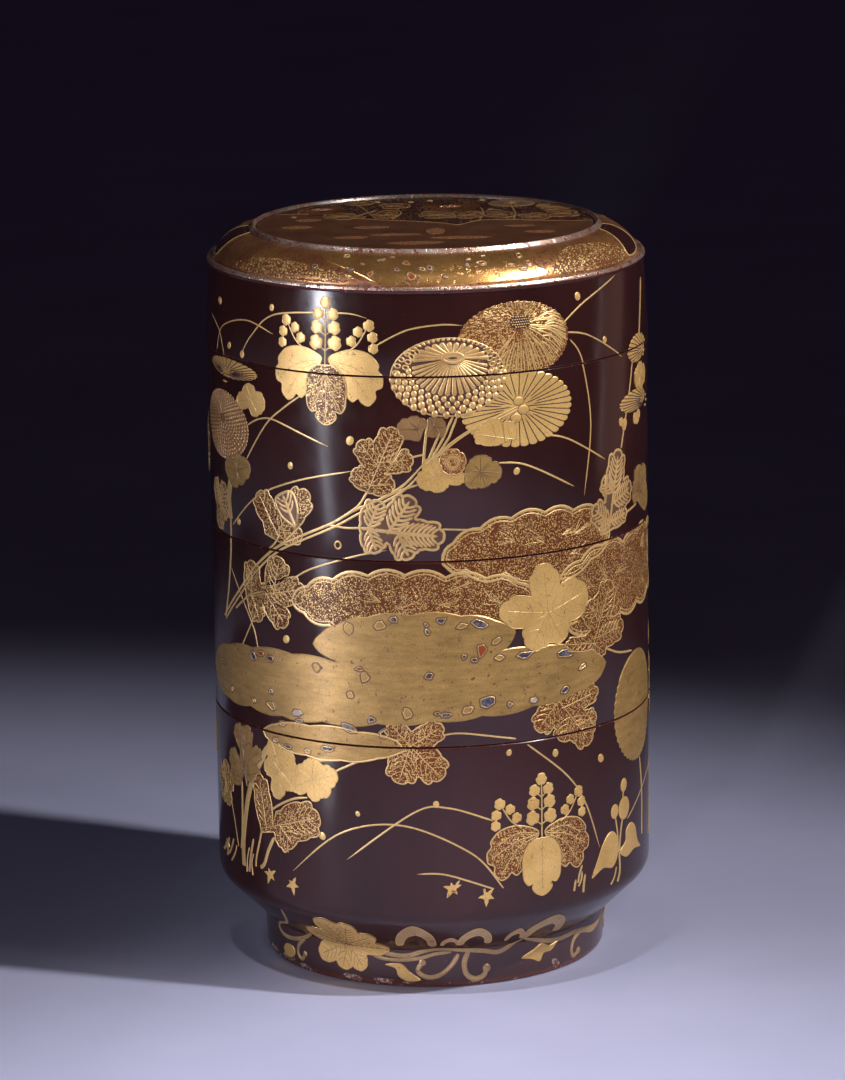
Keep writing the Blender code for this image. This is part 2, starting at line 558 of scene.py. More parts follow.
def powder(graph, given):
    """Gold powder: two tones in soft patches, fine grain, places rubbed through, and painted shade on its
    back half.
    """
    streaks = graph.noise(90.0, 5.0, 0.65, (1.0, 1.0, 5.0))
    patches = graph.between(given["Streak share"], graph.noise(70.0, 4.0, 0.6), streaks)
    tone = graph.mix(graph.ranged(patches, 0.32, 0.66), given["Dull tone"], given["Bright tone"])
    grain = graph.noise(2600.0, 2.0, 0.7)
    # Painted shade: behind the middle, the tone is dimmed and the metal lessened by the share given, so the
    # back half looks darker.
    depth = graph.node("ShaderNodeSeparateXYZ", {0: graph.place()}).outputs["Y"]
    behind = graph.times(graph.ranged(depth, 0.0, 0.03), given["Painted back shade"])
    left = graph.minus(1.0, behind)
    value = graph.times(graph.ranged(grain, *NOISE_SPAN, 0.72, 1.16), left)
    rubbed = graph.worn(420.0, 0.72, graph.plus(graph.times(given["Rubbed share"], 0.35), 0.33), 0.04)
    gain = graph.times(given["Polish"], 0.55)
    metal = graph.times(graph.plus(gain, 0.36), left)
    return {
        "Color": graph.mix(rubbed, graph.lit(tone, value), (*WARM_BROWN, 1.0)),
        "Metal": graph.ranged(rubbed, 0.0, 1.0, metal, 0.1),
        "Roughness": graph.times(graph.ranged(grain, *NOISE_SPAN, 0.52, 0.36), graph.minus(1.0, gain)),
        "Height": graph.minus(grain, graph.times(rubbed, 1.5)),
    }


def flakes(graph, given):
    """Coarse gold flakes strewn in brown lacquer, each with its own brightness."""
    distance, own = graph.cells(given["Flakes a metre"])
    drift = graph.ranged(graph.noise(160.0), *NOISE_SPAN, -0.22, 0.22)
    chosen = graph.maths("LESS_THAN", own["Red"], graph.plus(given["Cover"], drift))
    flake = graph.times(chosen, graph.ranged(distance, 0.42, 0.55, 1.0, 0.0))
    tone = graph.lit(given["Flake tone"], graph.ranged(own["Green"], 0.0, 1.0, 0.35, 1.25))
    return {
        "Color": graph.mix(flake, given["Lacquer"], tone),
        "Metal": graph.times(flake, 0.45),
        "Roughness": graph.ranged(own["Blue"], 0.0, 1.0, 0.25, 0.5),
        "Height": graph.times(flake, own["Blue"]),
    }


def lacquer(graph, given):
    """Polished lacquer: a slow change of tone, fine specks, and edges rubbed to a warmer coat."""
    slow = graph.ranged(graph.noise(22.0, 4.0, 0.6, (1.0, 1.0, 0.35)), *NOISE_SPAN, 0.8, 1.28)
    distance, own = graph.cells(900.0)
    strewn = graph.maths("LESS_THAN", own["Red"], graph.times(given["Speck share"], 0.08))
    speck = graph.times(strewn, graph.ranged(distance, 0.1, 0.2, 1.0, 0.0))
    rubbed = graph.worn(380.0, 0.7, graph.plus(graph.times(given["Rubbed share"], 0.5), 0.22), 0.06)
    bare = graph.maths("MAXIMUM", rubbed, speck)
    polish = graph.ranged(graph.noise(130.0, 5.0, 0.65), *NOISE_SPAN, 0.13, 0.22)
    ripple = graph.noise(55.0, 2.0, 0.5, (1.0, 1.0, 0.6))
    return {
        "Color": graph.mix(bare, graph.lit(given["Coat"], slow), given["Undercoat"]),
        "Roughness": graph.plus(polish, graph.times(rubbed, 0.3)),
        "Height": graph.minus(ripple, graph.times(rubbed, 0.6)),
    }


# Each kind of finish: its recipe, its group's colour and value sockets, the strength and depth of its
# relief in metres, and the weight of its clear coat and its shine.
KINDS = {
    "sprinkled gold powder": (
        powder, ("Bright tone", "Dull tone"), ("Rubbed share", "Polish", "Streak share", "Painted back shade"),
        0.35, 0.0001, 0.15, 0.5,
    ),
    "strewn gold flakes": (
        flakes, ("Flake tone", "Lacquer"), ("Cover", "Flakes a metre"), 0.5, 0.00008, 0.0, 0.2,
    ),
    "polished lacquer": (
        lacquer, ("Coat", "Undercoat"), ("Rubbed share", "Speck share"), 0.25, 0.00025, 0.0, 0.5,
    ),
}


def shader_group(kind):
    """The kind's group with named sockets, made when it is first asked for."""
    if kind in bpy.data.node_groups:
        return bpy.data.node_groups[kind]
    recipe, colours, values, *_ = KINDS[kind]
    tree = bpy.data.node_groups.new(kind, "ShaderNodeTree")

    def socket(label, way, is_colour):
        socket_type = "NodeSocketColor" if is_colour else "NodeSocketFloat"
        tree.interface.new_socket(label, in_out=way, socket_type=socket_type)

    for label in colours + values:
        socket(label, "INPUT", label in colours)
    graph = Graph(tree)
    results = recipe(graph, tree.nodes.new("NodeGroupInput").outputs)
    for label in results:
        socket(label, "OUTPUT", label == "Color")
    graph.node("NodeGroupOutput", results)
    return tree


def make_material(name, kind, tones, values):
    """A material of the kind, with its own tones and values. A tone may be the name of a setting."""
    _, colour_labels, value_labels, strength, depth, coat, shine = KINDS[kind]
    settings = bpy.context.scene.container_looks
    material = bpy.data.materials.new(name)
    material.use_nodes = True
    graph = Graph(material.node_tree)
    group = graph.node("ShaderNodeGroup", node_tree=shader_group(kind))
    for label, tone in zip(colour_labels, tones):
        colour = getattr(settings, tone) if isinstance(tone, str) else (*tone, 1.0)
        group.inputs[label].default_value = colour
    for label, value in zip(value_labels, values):
        group.inputs[label].default_value = value
    shader = material.node_tree.nodes["Principled BSDF"].inputs
    for label, result in (("Base Color", "Color"), ("Roughness", "Roughness"), ("Metallic", "Metal")):
        if result in group.outputs:
            graph.feed(shader[label], group.outputs[result])
    shader["Specular IOR Level"].default_value = shine
    shader["Coat Weight"].default_value = coat
    shader["Coat Roughness"].default_value = COAT_ROUGHNESS
    bump = {"Height": group.outputs["Height"], "Strength": strength, "Distance": depth}
    graph.feed(shader["Normal"], graph.node("ShaderNodeBump", bump).outputs[0])


def colour_setting(name, description, default):
    return bpy.props.FloatVectorProperty(
        name=name, description=description, default=(*default, 1.0), size=4, min=0.0, max=1.0, subtype="COLOR"
    )


def length_setting(name, description, default):
    return bpy.props.FloatProperty(
        name=name, description=description, default=default, min=0.0001, max=0.002, precision=5,
        unit="LENGTH", subtype="DISTANCE",
    )


def power_setting(name, description, default):
    return bpy.props.FloatProperty(name=name, description=description, default=default, min=0.0, unit="POWER")


class ContainerLooks(bpy.types.PropertyGroup):
    """Colours of the lacquer and the gold, and how far the gold stands up from the wall."""

    lacquer: colour_setting("Lacquer", "Colour of the polished lacquer on the walls", (0.036, 0.0105, 0.010))
    inner_lacquer: colour_setting("Inner Lacquer", "Colour inside the pieces", (0.05, 0.014, 0.011))
    bright_gold: colour_setting("Bright Gold", "Colour of the gold where it is thick", (0.90, 0.57, 0.20))
    dull_gold: colour_setting("Dull Gold", "Colour of the gold where it is thin", (0.72, 0.43, 0.135))
    strewn_ground: colour_setting("Strewn Ground", "Colour between the strewn flakes", (0.15, 0.045, 0.014))
    flower_rise: length_setting("Flower Rise", "Height of the beaded flower above the wall", 0.0005)
    mist_rise: length_setting("Mist Rise", "Height of the solid gold mist above the wall", 0.0003)
    grass_width: length_setting("Grass Width", "Width of a blade of grass at its middle", 0.00085)


class StageLooks(bpy.types.PropertyGroup):
    """The floor, the lights and the lens."""

    floor_colour: colour_setting("Floor", "Colour of the pale floor", (0.47, 0.483, 0.70))
    spot_power: power_setting("Right Spot", "Power of the spot that lights the floor from the right", 96.0)
    floor_power: power_setting("Floor Spot", "Power of the spot above the floor in front", 76.0)
    front_power: power_setting("Front Spots", "Power of each narrow spot on the front", 52.0)
    fill_power: power_setting("Fill Spots", "Power of each weak spot, at the left and behind", 3.0)
    shadow_power: power_setting("Shadow Power", "Power of the spot that lightens the shadow", 2.4)
    strip_power: power_setting("Left Strip", "Power of the tall panel at the left", 13.0)
    near_power: power_setting("Near Strip", "Power of the low panel near the wall", 0.11)
    panel_power: power_setting("Right Panel", "Power of the panel that brightens the shoulder", 20.0)
    overhead_power: power_setting("Overhead", "Power of the soft panel above the lid", 0.4)
    lens: bpy.props.FloatProperty(
        name="Lens", description="Focal length of the camera", default=155.25, min=20.0, max=400.0,
        unit="CAMERA",
    )


# The finishes of each kind: the two tones, and then the values for as many of its sockets as it needs.
FINISHES = {
    "polished lacquer": {
        "wall_lacquer": ("lacquer", WARM_BROWN, 0.0, 0.3),
        "inner_lacquer": ("inner_lacquer", WARM_BROWN, 0.05, 0.1),
        "rubbed_edge": ((0.075, 0.020, 0.017), (0.34, 0.15, 0.11), 0.34, 0.4),
        "foot_lacquer": ((0.075, 0.036, 0.040), (0.20, 0.10, 0.07), 0.25, 0.6),
        "foot_edge": ((0.13, 0.040, 0.030), (0.46, 0.36, 0.33), 0.42, 0.5),
        "groove": ((0.085, 0.045, 0.050), WARM_BROWN, 0.2, 0.2),
        "blue_shell": ((0.060, 0.056, 0.095), (0.16, 0.14, 0.16), 0.6, 0.6),
        "dark_shell": ((0.075, 0.05, 0.07), WARM_BROWN, 0.2, 0.4),
        "red_shell": ((0.30, 0.07, 0.025), (0.5, 0.3, 0.12), 0.3, 0.6),
        "pale_shell": ((0.42, 0.38, 0.42), (0.55, 0.40, 0.2), 0.3, 0.6),
    },
    "sprinkled gold powder": {
        "scroll_gold": ((0.62, 0.40, 0.19), (0.42, 0.26, 0.12), 0.15),
        "scroll_edge": ((0.74, 0.49, 0.24), (0.54, 0.34, 0.16), 0.15),
        "worn_white": ((0.66, 0.58, 0.56), (0.36, 0.26, 0.24), 0.6),
        # The rim's last value darkens the back half of the bead and rim with painted shade.
        "rim_gold": ((0.92, 0.70, 0.59), (0.42, 0.20, 0.125), 0.37, 0.7, 0.0, 0.86),
        "shoulder_gold": ((0.50, 0.24, 0.08), (0.26, 0.10, 0.04), 0.42, 0.5),
        "shoulder_bright": ((0.74, 0.405, 0.13), (0.44, 0.21, 0.065), 0.3, 0.75, 0.3),
        "bank_gold": ((0.26, 0.11, 0.045), (0.16, 0.06, 0.026), 0.3, 0.4),
        "leaf_gold": ("bright_gold", "dull_gold", 0.12),
        "raised_gold": ((0.86, 0.56, 0.24), (0.58, 0.34, 0.13), 0.15),
        "mist_gold": ((0.62, 0.375, 0.12), (0.33, 0.19, 0.06), 0.2, 0.1, 0.65),
        "dull_scale": ((0.46, 0.26, 0.10), (0.32, 0.17, 0.065), 0.12),
        "line_gold": ((0.80, 0.53, 0.21), (0.64, 0.41, 0.16), 0.05),
        "vein_line": ((0.66, 0.41, 0.155), (0.52, 0.31, 0.115), 0.1),
        "brown_line": ((0.22, 0.115, 0.06), (0.15, 0.075, 0.045), 0.1),
        "carved_ground": ((0.21, 0.108, 0.062), (0.125, 0.065, 0.050), 0.1),
        "flower_ground": ((0.19, 0.095, 0.06), (0.12, 0.06, 0.05), 0.1),
    },
    "strewn gold flakes": {
        "top_ground": ((0.5, 0.25, 0.09), (0.035, 0.012, 0.010), 0.2, 1500.0),
        "red_strewn_gold": ((0.95, 0.60, 0.24), (0.19, 0.060, 0.020), 0.6, 2150.0),
        "sparse_strewn": ((0.95, 0.62, 0.24), (0.17, 0.062, 0.022), 0.6, 1500.0),
        "strewn_gold": ((0.95, 0.62, 0.26), "strewn_ground", 0.58, 2050.0),
        "dull_ground": ((0.62, 0.36, 0.16), (0.24, 0.09, 0.04), 0.6, 1500.0),
    },
}


def finish(name):
    """The finish's material, made when it is first asked for."""
    if name not in bpy.data.materials:
        kind = next(kind for kind, finishes in FINISHES.items() if name in finishes)
        first, second, *values = FINISHES[kind][name]
        make_material(name, kind, (first, second), values)
    return bpy.data.materials[name]


# The turned pieces.


def turned(name, stretches):
    """A piece turned about the Z axis, from stretches of (radius, height) points, each in a finish."""
    section = []
    kinds = []
    for kind, line in stretches:
        for spot in line:
            if section and math.dist(section[-1], spot) < 1e-6:
                continue
            if section:
                kinds.append(kind)
            section.append(tuple(spot))
    points = []
    rings = []
    for radius, height in section:
        steps = 1 if radius < 1e-6 else TURN_STEPS
        rings.append([len(points) + step % steps for step in range(TURN_STEPS + 1)])
        for step in range(steps):
            points.append(round_axis(radius, math.tau * step / TURN_STEPS, height) * MM)
    faces = []
    for low, high in zip(rings, rings[1:]):
        faces += [tuple(dict.fromkeys(face)) for face in zip(low, low[1:], high[1:], high)]
    used = sorted(set(kinds))
    mesh = bpy.data.meshes.new(name)
    mesh.from_pydata(points, [], faces)
    slots = [used.index(kind) for kind in kinds for _ in range(TURN_STEPS)]
    mesh.polygons.foreach_set("material_index", slots)
    bm = bmesh.new()
    bm.from_mesh(mesh)
    bmesh.ops.recalc_face_normals(bm, faces=bm.faces)
    bm.to_mesh(mesh)
    bm.free()
    mesh.shade_smooth()
    mesh.set_sharp_from_angle(angle=math.radians(34))
    for kind in used:
        mesh.materials.append(finish(kind))
    piece = bpy.data.objects.new(name, mesh)
    bpy.context.scene.collection.objects.link(piece)
    return piece


# The rounding of a lip's edge: how far in and how far down its points are from the corner.
LIP_EDGE = ((0.0, 0.8), (0.3, 0.2), (0.9, 0.0))
COVE = 4.0


def bevel(radius, height, way):
    """A seam's rounded corner from the side inwards, with the piece above it or, with way -1, below it."""
    between = (radius - 0.2, height + way * 0.15)
    return [(radius, height + way * SEAM_BEVEL), between, (radius - SEAM_BEVEL, height)]


def mouth(seam):
    """A tier's mouth: the lip that the next piece fits round, and the seat outside it."""
    seat = seam - SEAM_GAP / 2
    top = seat + LIP_HEIGHT
    inner = [(INNER_RADIUS + away, top - down) for away, down in LIP_EDGE]
    outer = [(LIP_RADIUS - away, top - down) for away, down in LIP_EDGE[::-1]]
    return [
        ("inner_lacquer", [*inner, *outer, (LIP_RADIUS, seat)]),
        ("rubbed_edge", [(LIP_RADIUS, seat), *bevel(WALL_RADIUS, seat, -1)[::-1]]),
    ]


def skirt(seam, radius):
    """A piece's lower edge, up to the top of the groove that takes the lip below."""
    bottom = seam + SEAM_GAP / 2
    edge = bevel(radius, bottom, 1)
    groove = [edge[-1], (GROOVE_RADIUS, bottom), (GROOVE_RADIUS, bottom + GROOVE_DEPTH)]
    return [("rubbed_edge", edge), ("inner_lacquer", groove)]


def bowl(turn, spring, seam, steps):
    """A tier's inside. Its floor is flat as far as the turn, and its wall upright from the spring."""
    middle = (0.0, turn[1])
    inside = [
        middle,
        *rounded_corner(middle, turn, spring, COVE, 4),
        *rounded_corner(turn, spring, (INNER_RADIUS, seam), COVE, steps),
        (INNER_RADIUS, seam + LIP_HEIGHT - 1.0),
    ]
    return ("inner_lacquer", inside)


def tier_stretches(seam_below, seam_above):
    bottom = seam_below + SEAM_GAP / 2
    floor = bottom + FLOOR
    nest = INNER_RADIUS - 0.5
    groove_top = bottom + GROOVE_DEPTH
    under = [(GROOVE_RADIUS, groove_top), (nest, groove_top)]
    under += [(nest, bottom + 0.5), (nest - 0.5, bottom), (0.0, bottom)]
    return [
        bowl((INNER_RADIUS - 5.2, floor), (INNER_RADIUS, floor + 9.0), seam_above, 4),
        *mouth(seam_above),
        ("wall_lacquer", [(WALL_RADIUS, seam_above - SEAM_BEVEL), (WALL_RADIUS, bottom + SEAM_BEVEL)]),
        *skirt(seam_below, WALL_RADIUS),
        ("inner_lacquer", under),
    ]


def lower_stretches():
    floor = FOOT_RECESS + FLOOR
    foot = [(71.2, 15.8), (70.95, 12.0), (70.8, 8.0), (70.5, 1.9)]
    edge = [
        (70.5, 1.9), (FOOT_RADIUS, 0.9), (FOOT_RADIUS - 0.3, 0.2), (FOOT_RADIUS - 0.9, 0.0),
        (FOOT_INNER + 0.9, 0.0), (FOOT_INNER, 0.9),
    ]
    return [
        bowl((FOOT_RADIUS - 2.0, floor), (INNER_RADIUS, CHAMFER_CORNER + 3.2), SEAM_LOW, 5),
        *mouth(SEAM_LOW),
        ("wall_lacquer", [(WALL_RADIUS, SEAM_LOW - SEAM_BEVEL), *CHAMFER[::-1]]),
        ("wall_lacquer", [CHAMFER[0], CHAMFER_START, (72.2, 17.0), (71.2, 15.8)]),
        ("foot_lacquer", foot),
        ("foot_edge", edge),
        ("inner_lacquer", [(FOOT_INNER, 0.9), (FOOT_INNER, FOOT_RECESS), (0.0, FOOT_RECESS)]),
    ]


# The bead and the rim of the lid: how far out from the bead or the neck, and how far down from the
# crest or the rim's top.
BEAD = ((-1.5, 0.6), (-1.2, 0.15), (-0.9, 0.0), (-0.5, 0.1), (-0.1, 0.6), (0.2, 1.5))
RIM = ((-1.4, 0.45), (-0.8, 0.0), (0.0, 0.15), (0.5, 0.8), (0.6, 1.5))


def lid_stretches():
    inner_bead = (BEAD_RADIUS - 1.8, TOP_PANEL)
    bead = [(BEAD_RADIUS + out, CREST - down) for out, down in BEAD]
    rim = [(NECK_RADIUS + out, RIM_TOP - down) for out, down in RIM]
    ceiling = TOP_PANEL - LID_THICKNESS
    above_lip = SEAM_HIGH + SEAM_GAP / 2 + GROOVE_DEPTH
    dome = full_quarter((INNER_RADIUS, SHOULDER_OUTER[1] - LID_THICKNESS), (68.7, ceiling), 2.0, 8)
    return [
        ("top_ground", [(0.0, TOP_PANEL), inner_bead]),
        ("rim_gold", [inner_bead, *bead, SHOULDER_INNER]),
        ("shoulder_gold", SHOULDER[::-1]),
        ("rim_gold", [SHOULDER_OUTER, *rim]),
        ("rubbed_edge", [rim[-1], (NECK_RADIUS + 0.4, RIM_BOTTOM + 0.4), (NECK_RADIUS, RIM_BOTTOM)]),
        ("wall_lacquer", [(NECK_RADIUS, RIM_BOTTOM), (SKIRT_RADIUS, SEAM_HIGH + SEAM_GAP / 2 + SEAM_BEVEL)]),
        *skirt(SEAM_HIGH, SKIRT_RADIUS),
        ("inner_lacquer", [(GROOVE_RADIUS, above_lip), (INNER_RADIUS, above_lip), *dome, (0.0, ceiling)]),
    ]


def dress(node_name, stretches):
    """Stands a finely turned piece in a node's place."""
    piece = turned(f"{node_name}_lacquer", stretches)
    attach(piece, "root")
    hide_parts(node_name)


class MakeLid(bpy.types.Operator):
    """Turn the lid, with its gilded shoulder, rim and bead"""

    bl_idname = "lacquer_box.lid"
    bl_label = "Lid"

    def execute(self, context):
        dress("lid", lid_stretches())
        return {"FINISHED"}


class MakeTiers(bpy.types.Operator):
    """Turn the three tiers, the lowest with its foot ring"""

    bl_idname = "lacquer_box.tiers"
    bl_label = "Tiers"

    def execute(self, context):
        dress("upper_tier", tier_stretches(SEAM_MIDDLE, SEAM_HIGH))
        dress("middle_tier", tier_stretches(SEAM_LOW, SEAM_MIDDLE))
        dress("lower_tier", lower_stretches())
        return {"FINISHED"}


# Leaves, flowers and plants. Places are in drawing millimetres.

# Each way of drawing a leaf: its ground, its lines, the widths of its edge and of its veins, and the
# distance between side veins.
LEAF_WAYS = {
    "strewn": ("strewn_gold", "line_gold", 0.6, 0.3, 2.6),
    "engraved": ("carved_ground", "raised_gold", 1.2, 1.2, 2.0),
    "solid": ("leaf_gold", "vein_line", 0.34, 0.24, 4.6),
    "lined": ("leaf_gold", "brown_line", 0.34, 0.24, 2.6),
    "soft": ("mist_gold", "brown_line", 0.34, 0.24, 4.6),
    "dull": ("dull_scale", "brown_line", 0.34, 0.24, 4.6),
    "dim": ("bank_gold", "dull_scale", 0.6, 0.3, 3.6),
}


# Where a leaf's lobes spring from its spine, as shares of it: the last lobe, the lowest and the highest of
# the others, and how much nearer to the base a lobe springs the further its tip is from the spine.
END_LOBE = 0.4
LOWEST_LOBE = 0.1
HIGHEST_LOBE = 0.6
LOBE_SLANT = 0.55

# Side veins stand between these shares of a lobe, and reach this share of its width.
FIRST_VEIN = 0.3
VEIN_SPAN = 0.56
VEIN_REACH = 0.4


def side_veins(drawing, root, tip, width, way, lift):
    """Pairs of veins that spring from a lobe's middle vein and bend towards its tip."""
    _, line, _, vein_width, gap = LEAF_WAYS[way]
    ray = tip - root
    pairs = max(1, int(ray.length * 0.62 / gap))
    for pair in range(pairs):
        at = root + ray * (FIRST_VEIN + VEIN_SPAN * pair / pairs)
        reach = width * VEIN_REACH * math.sin(math.radians(60 + 90 * pair / pairs))
        ahead = ray.normalized() * reach
        for side in (-1, 1):
            across = Vector((-ray.y, ray.x)).normalized() * side * reach
            path = through([at, at + across * 0.5 + ahead * 0.3, at + across * 0.96 + ahead * 0.9])
            drawing.stroke(path, vein_width, line, 0.1 + vein_width / 10, lift, (0.9, 0.5))


def leaf(drawing, base, lobes, way="strewn", teeth=4.0, lift=0.1, bite=0.12, radial=False):
    """A lobed leaf. Each lobe is the place of its tip and its width, and the first one ends the leaf.

    The lobes spring from the leaf's spine, or all from its base where it is radial.
    """
    ground, line, edge_width, vein_width, _ = LEAF_WAYS[way]
    base = Vector(base)
    end = Vector(lobes[0][:2])
    spine = end - base
    made = []
    for x, y, width in lobes:
        tip = Vector((x, y))
        off = tip - base
        along, aside = off.dot(spine), abs(off.cross(spine))
        share = along / spine.length_squared - LOBE_SLANT * aside / spine.length_squared
        share = END_LOBE if tip == end else min(max(share, LOWEST_LOBE), HIGHEST_LOBE)
        root = base if radial else base + spine * share
        made.append((root - (tip - root) * 0.3, tip, width))
    drawing.plate(lobed(base, made, teeth, bite), ground, line, edge_width, lift)
    drawing.stroke(through([base, base + spine * 0.5, end - spine * 0.1]), vein_width * 1.5, line, 0.14, lift)
    for root, tip, width in made:
        start = root + (tip - root) * 0.18
        drawing.stroke(through([start, start.lerp(tip, 0.88)]), vein_width * 1.3, line, 0.13, lift)
        side_veins(drawing, root, tip, width, way, lift)


def stem(drawing, points, width, kind="line_gold", base=0.03):
    drawing.stroke(through(points), width, kind, 0.25, base, (1.0, 0.45))


def grass(drawing, points, width):
    """A long blade that thins out at its tip."""
    drawing.stroke(through(points), width, "line_gold", 0.18, 0.0, (0.7, 0.25))


def dew(drawing, centre, size, kind="leaf_gold"):
    """A flat drop, a little taller than it is wide."""
    turn = (centre[0] * 37 + centre[1] * 11) % 90 - 45
    outline = oval(centre, size * 0.86, size, 14, turn)
    drawing.dome(outline, kind, rise=0.2)
    drawing.edging(inset(outline, 0.25), 0.4, "line_gold", 0.18, 0.04)


def blossom(drawing, centre, size, lift=0.08, turn=90.0):
    """A small three-lobed flower with a notched edge."""
    centre = Vector(centre)
    lobes = []
    for angle in (0, 120, 240):
        way = heading(turn + angle) * size
        lobes.append((centre - way * 0.2, centre + way * 0.5, size * 0.7))
    outline = lobed(centre - heading(turn) * 0.1, lobes, 1.0, 0.04)
    drawing.dome(outline, "leaf_gold", rise=0.2, base=lift)
    drawing.edging(inset(outline, 0.2), 0.34, "line_gold", 0.14, lift + 0.02)


# Half of the middle leaf of a paulownia crest, and the whole leaf at its right.
MIDDLE_LEAF = (
    (0, -1.6), (4.4, -2.2), (7.8, -5.6), (9.1, -10.6), (8.9, -15), (8.4, -18.6), (6.4, -21), (4.2, -20.4),
    (4.8, -22.4), (3.2, -24.6), (0, -26),
)
SIDE_LEAF = (
    (1.4, 1.2), (6, 3.8), (12, 5), (18.4, 3.6), (22.4, -0.6), (22.2, -3), (24, -5.6), (23.6, -9.8),
    (21, -11.2), (21, -14.4), (18, -17.4), (15, -16.2), (13.6, -14.6), (11.4, -16), (8.6, -13.4), (7, -8),
    (3, -3),
)


# The angle between a rib and its branches, in degrees, and the length of each half of a branch.
TWIG_TURN = 38
TWIG_REACH = 1.2


def crest_leaf(drawing, outline, way, ribs, lift=0.1):
    """A leaf of a crest, with ribs that run from its base to its lobes, each with a few branches."""
    ground, line, edge_width, vein_width, _ = LEAF_WAYS[way]
    drawing.plate(through(outline, 1.0, closed=True), ground, line, edge_width, lift)
    for rib in ribs:
        path = through(rib, 1.0)
        drawing.stroke(path, vein_width * 1.5, line, 0.13, lift, (1.0, 0.6))
        for index in range(3, len(path) - 3, 3):
            spot = path[index]
            ahead = (path[index + 1] - spot).normalized()
            for turn in (-TWIG_TURN, TWIG_TURN):
                branch = Euler((0.0, 0.0, math.radians(turn))).to_matrix().to_2x2() @ ahead
                twig = [spot, spot + branch * TWIG_REACH, spot + branch * 2 * TWIG_REACH + ahead * 0.7]
                drawing.stroke(twig, vein_width, line, 0.1, lift, (0.9, 0.4))


# The ribs of a crest's right and middle leaves, its pairs of flowers up the spikes, from the lowest,
# each with its height, its reach and its size, and the flowers of the right spike.
SIDE_RIBS = (
    ((2, 0.4), (11, 1.6), (20, -3)), ((2, 0), (12, -2), (22, -8)), ((2, -0.6), (11, -5), (18, -15)),
    ((2.6, -1.6), (8, -7), (11.4, -13.6)),
)
MIDDLE_RIBS = ((6, -19), (7.4, -11))
SPIKE_PAIRS = ((6.8, 4.1, 5.9), (12.8, 3.8, 5.5), (18.2, 3.2, 4.9))
SIDE_SPIKE = ((18.4, 14.6, 4.6), (14.0, 12.0, 4.2), (19.9, 10.0, 4.3), (11.2, 8.2, 4.3), (20.2, 5.6, 4.1))


def paulownia(drawing, base, side_way, middle_way):
    """A crest of three leaves below three spikes of flowers. A solid leaf has fewer ribs."""
    base = Vector(base)

    def at(x, y):
        return base + Vector((x, y))

    for side in (-1, 1):
        ribs = [[at(side * x, y) for x, y in rib] for rib in SIDE_RIBS]
        outline = [at(side * x, y) for x, y in SIDE_LEAF]
        crest_leaf(drawing, outline, side_way, ribs[1:3] if side_way == "solid" else ribs)
    outline = [at(x, y) for x, y in MIDDLE_LEAF] + [at(-x, y) for x, y in MIDDLE_LEAF[-2:0:-1]]
    ribs = [[at(0, -3), at(0, -14), at(0, -24)]]
    if middle_way != "solid":
        for side in (-1, 1):
            ribs += [[at(0, -5), at(side * x / 2, y / 2 - 4), at(side * x, y)] for x, y in MIDDLE_RIBS]
    crest_leaf(drawing, outline, middle_way, ribs, 0.35)
    stem(drawing, [at(0, -2), at(0.1, 10), at(0, 21)], 0.7, base=0.1)
    for height, reach, size in SPIKE_PAIRS:
        for side in (-1, 1):
            stem(drawing, [at(0, height - 3.0), at(side * reach * 0.6, height - 1.2)], 0.5, base=0.1)
            blossom(drawing, at(side * reach, height + 0.2), size, turn=90 - side * 20)
    blossom(drawing, at(0, 22.8), 5.0)
    for side in (-1, 1):
        stem(drawing, [at(side * 9, 3.6), at(side * 13.6, 7), at(side * 17.4, 13)], 0.6, base=0.2)
        for x, y, size in SIDE_SPIKE:
            blossom(drawing, at(side * x, y), size, 0.2, 90 - side * 25)


def ellipse_at(centre, size, degrees, share=1.0):
    """A place on an ellipse about the centre, or at a share of the way out to it."""
    way = heading(degrees)
    return Vector(centre) + Vector((way.x * size[0], way.y * size[1])) / 2 * share


def places_round(eye, centre, size):
    """Gives places by their angle and their share of the way from a flower's eye to its oval edge."""
    return lambda degrees, share: Vector(eye).lerp(ellipse_at(centre, size, degrees), share)


# How far above the wall the lines of a flower start, where it isn't the beaded one.
FLOWER_LIFT = 0.2

# The beaded flower's rings of petals: how far from the eye they start and end, how many there are, and
# the angles between which they stand. Then its rows of beads: how far out they are, and a bead's size.
PETAL_RINGS = ((0.12, 0.65, 18, 174, 378), (0.12, 0.76, 13, 26, 166), (0.84, 0.97, 20, 34, 146))
BEAD_ROWS = ((0.70, 2.3), (0.79, 2.5), (0.88, 2.8), (0.965, 2.7))


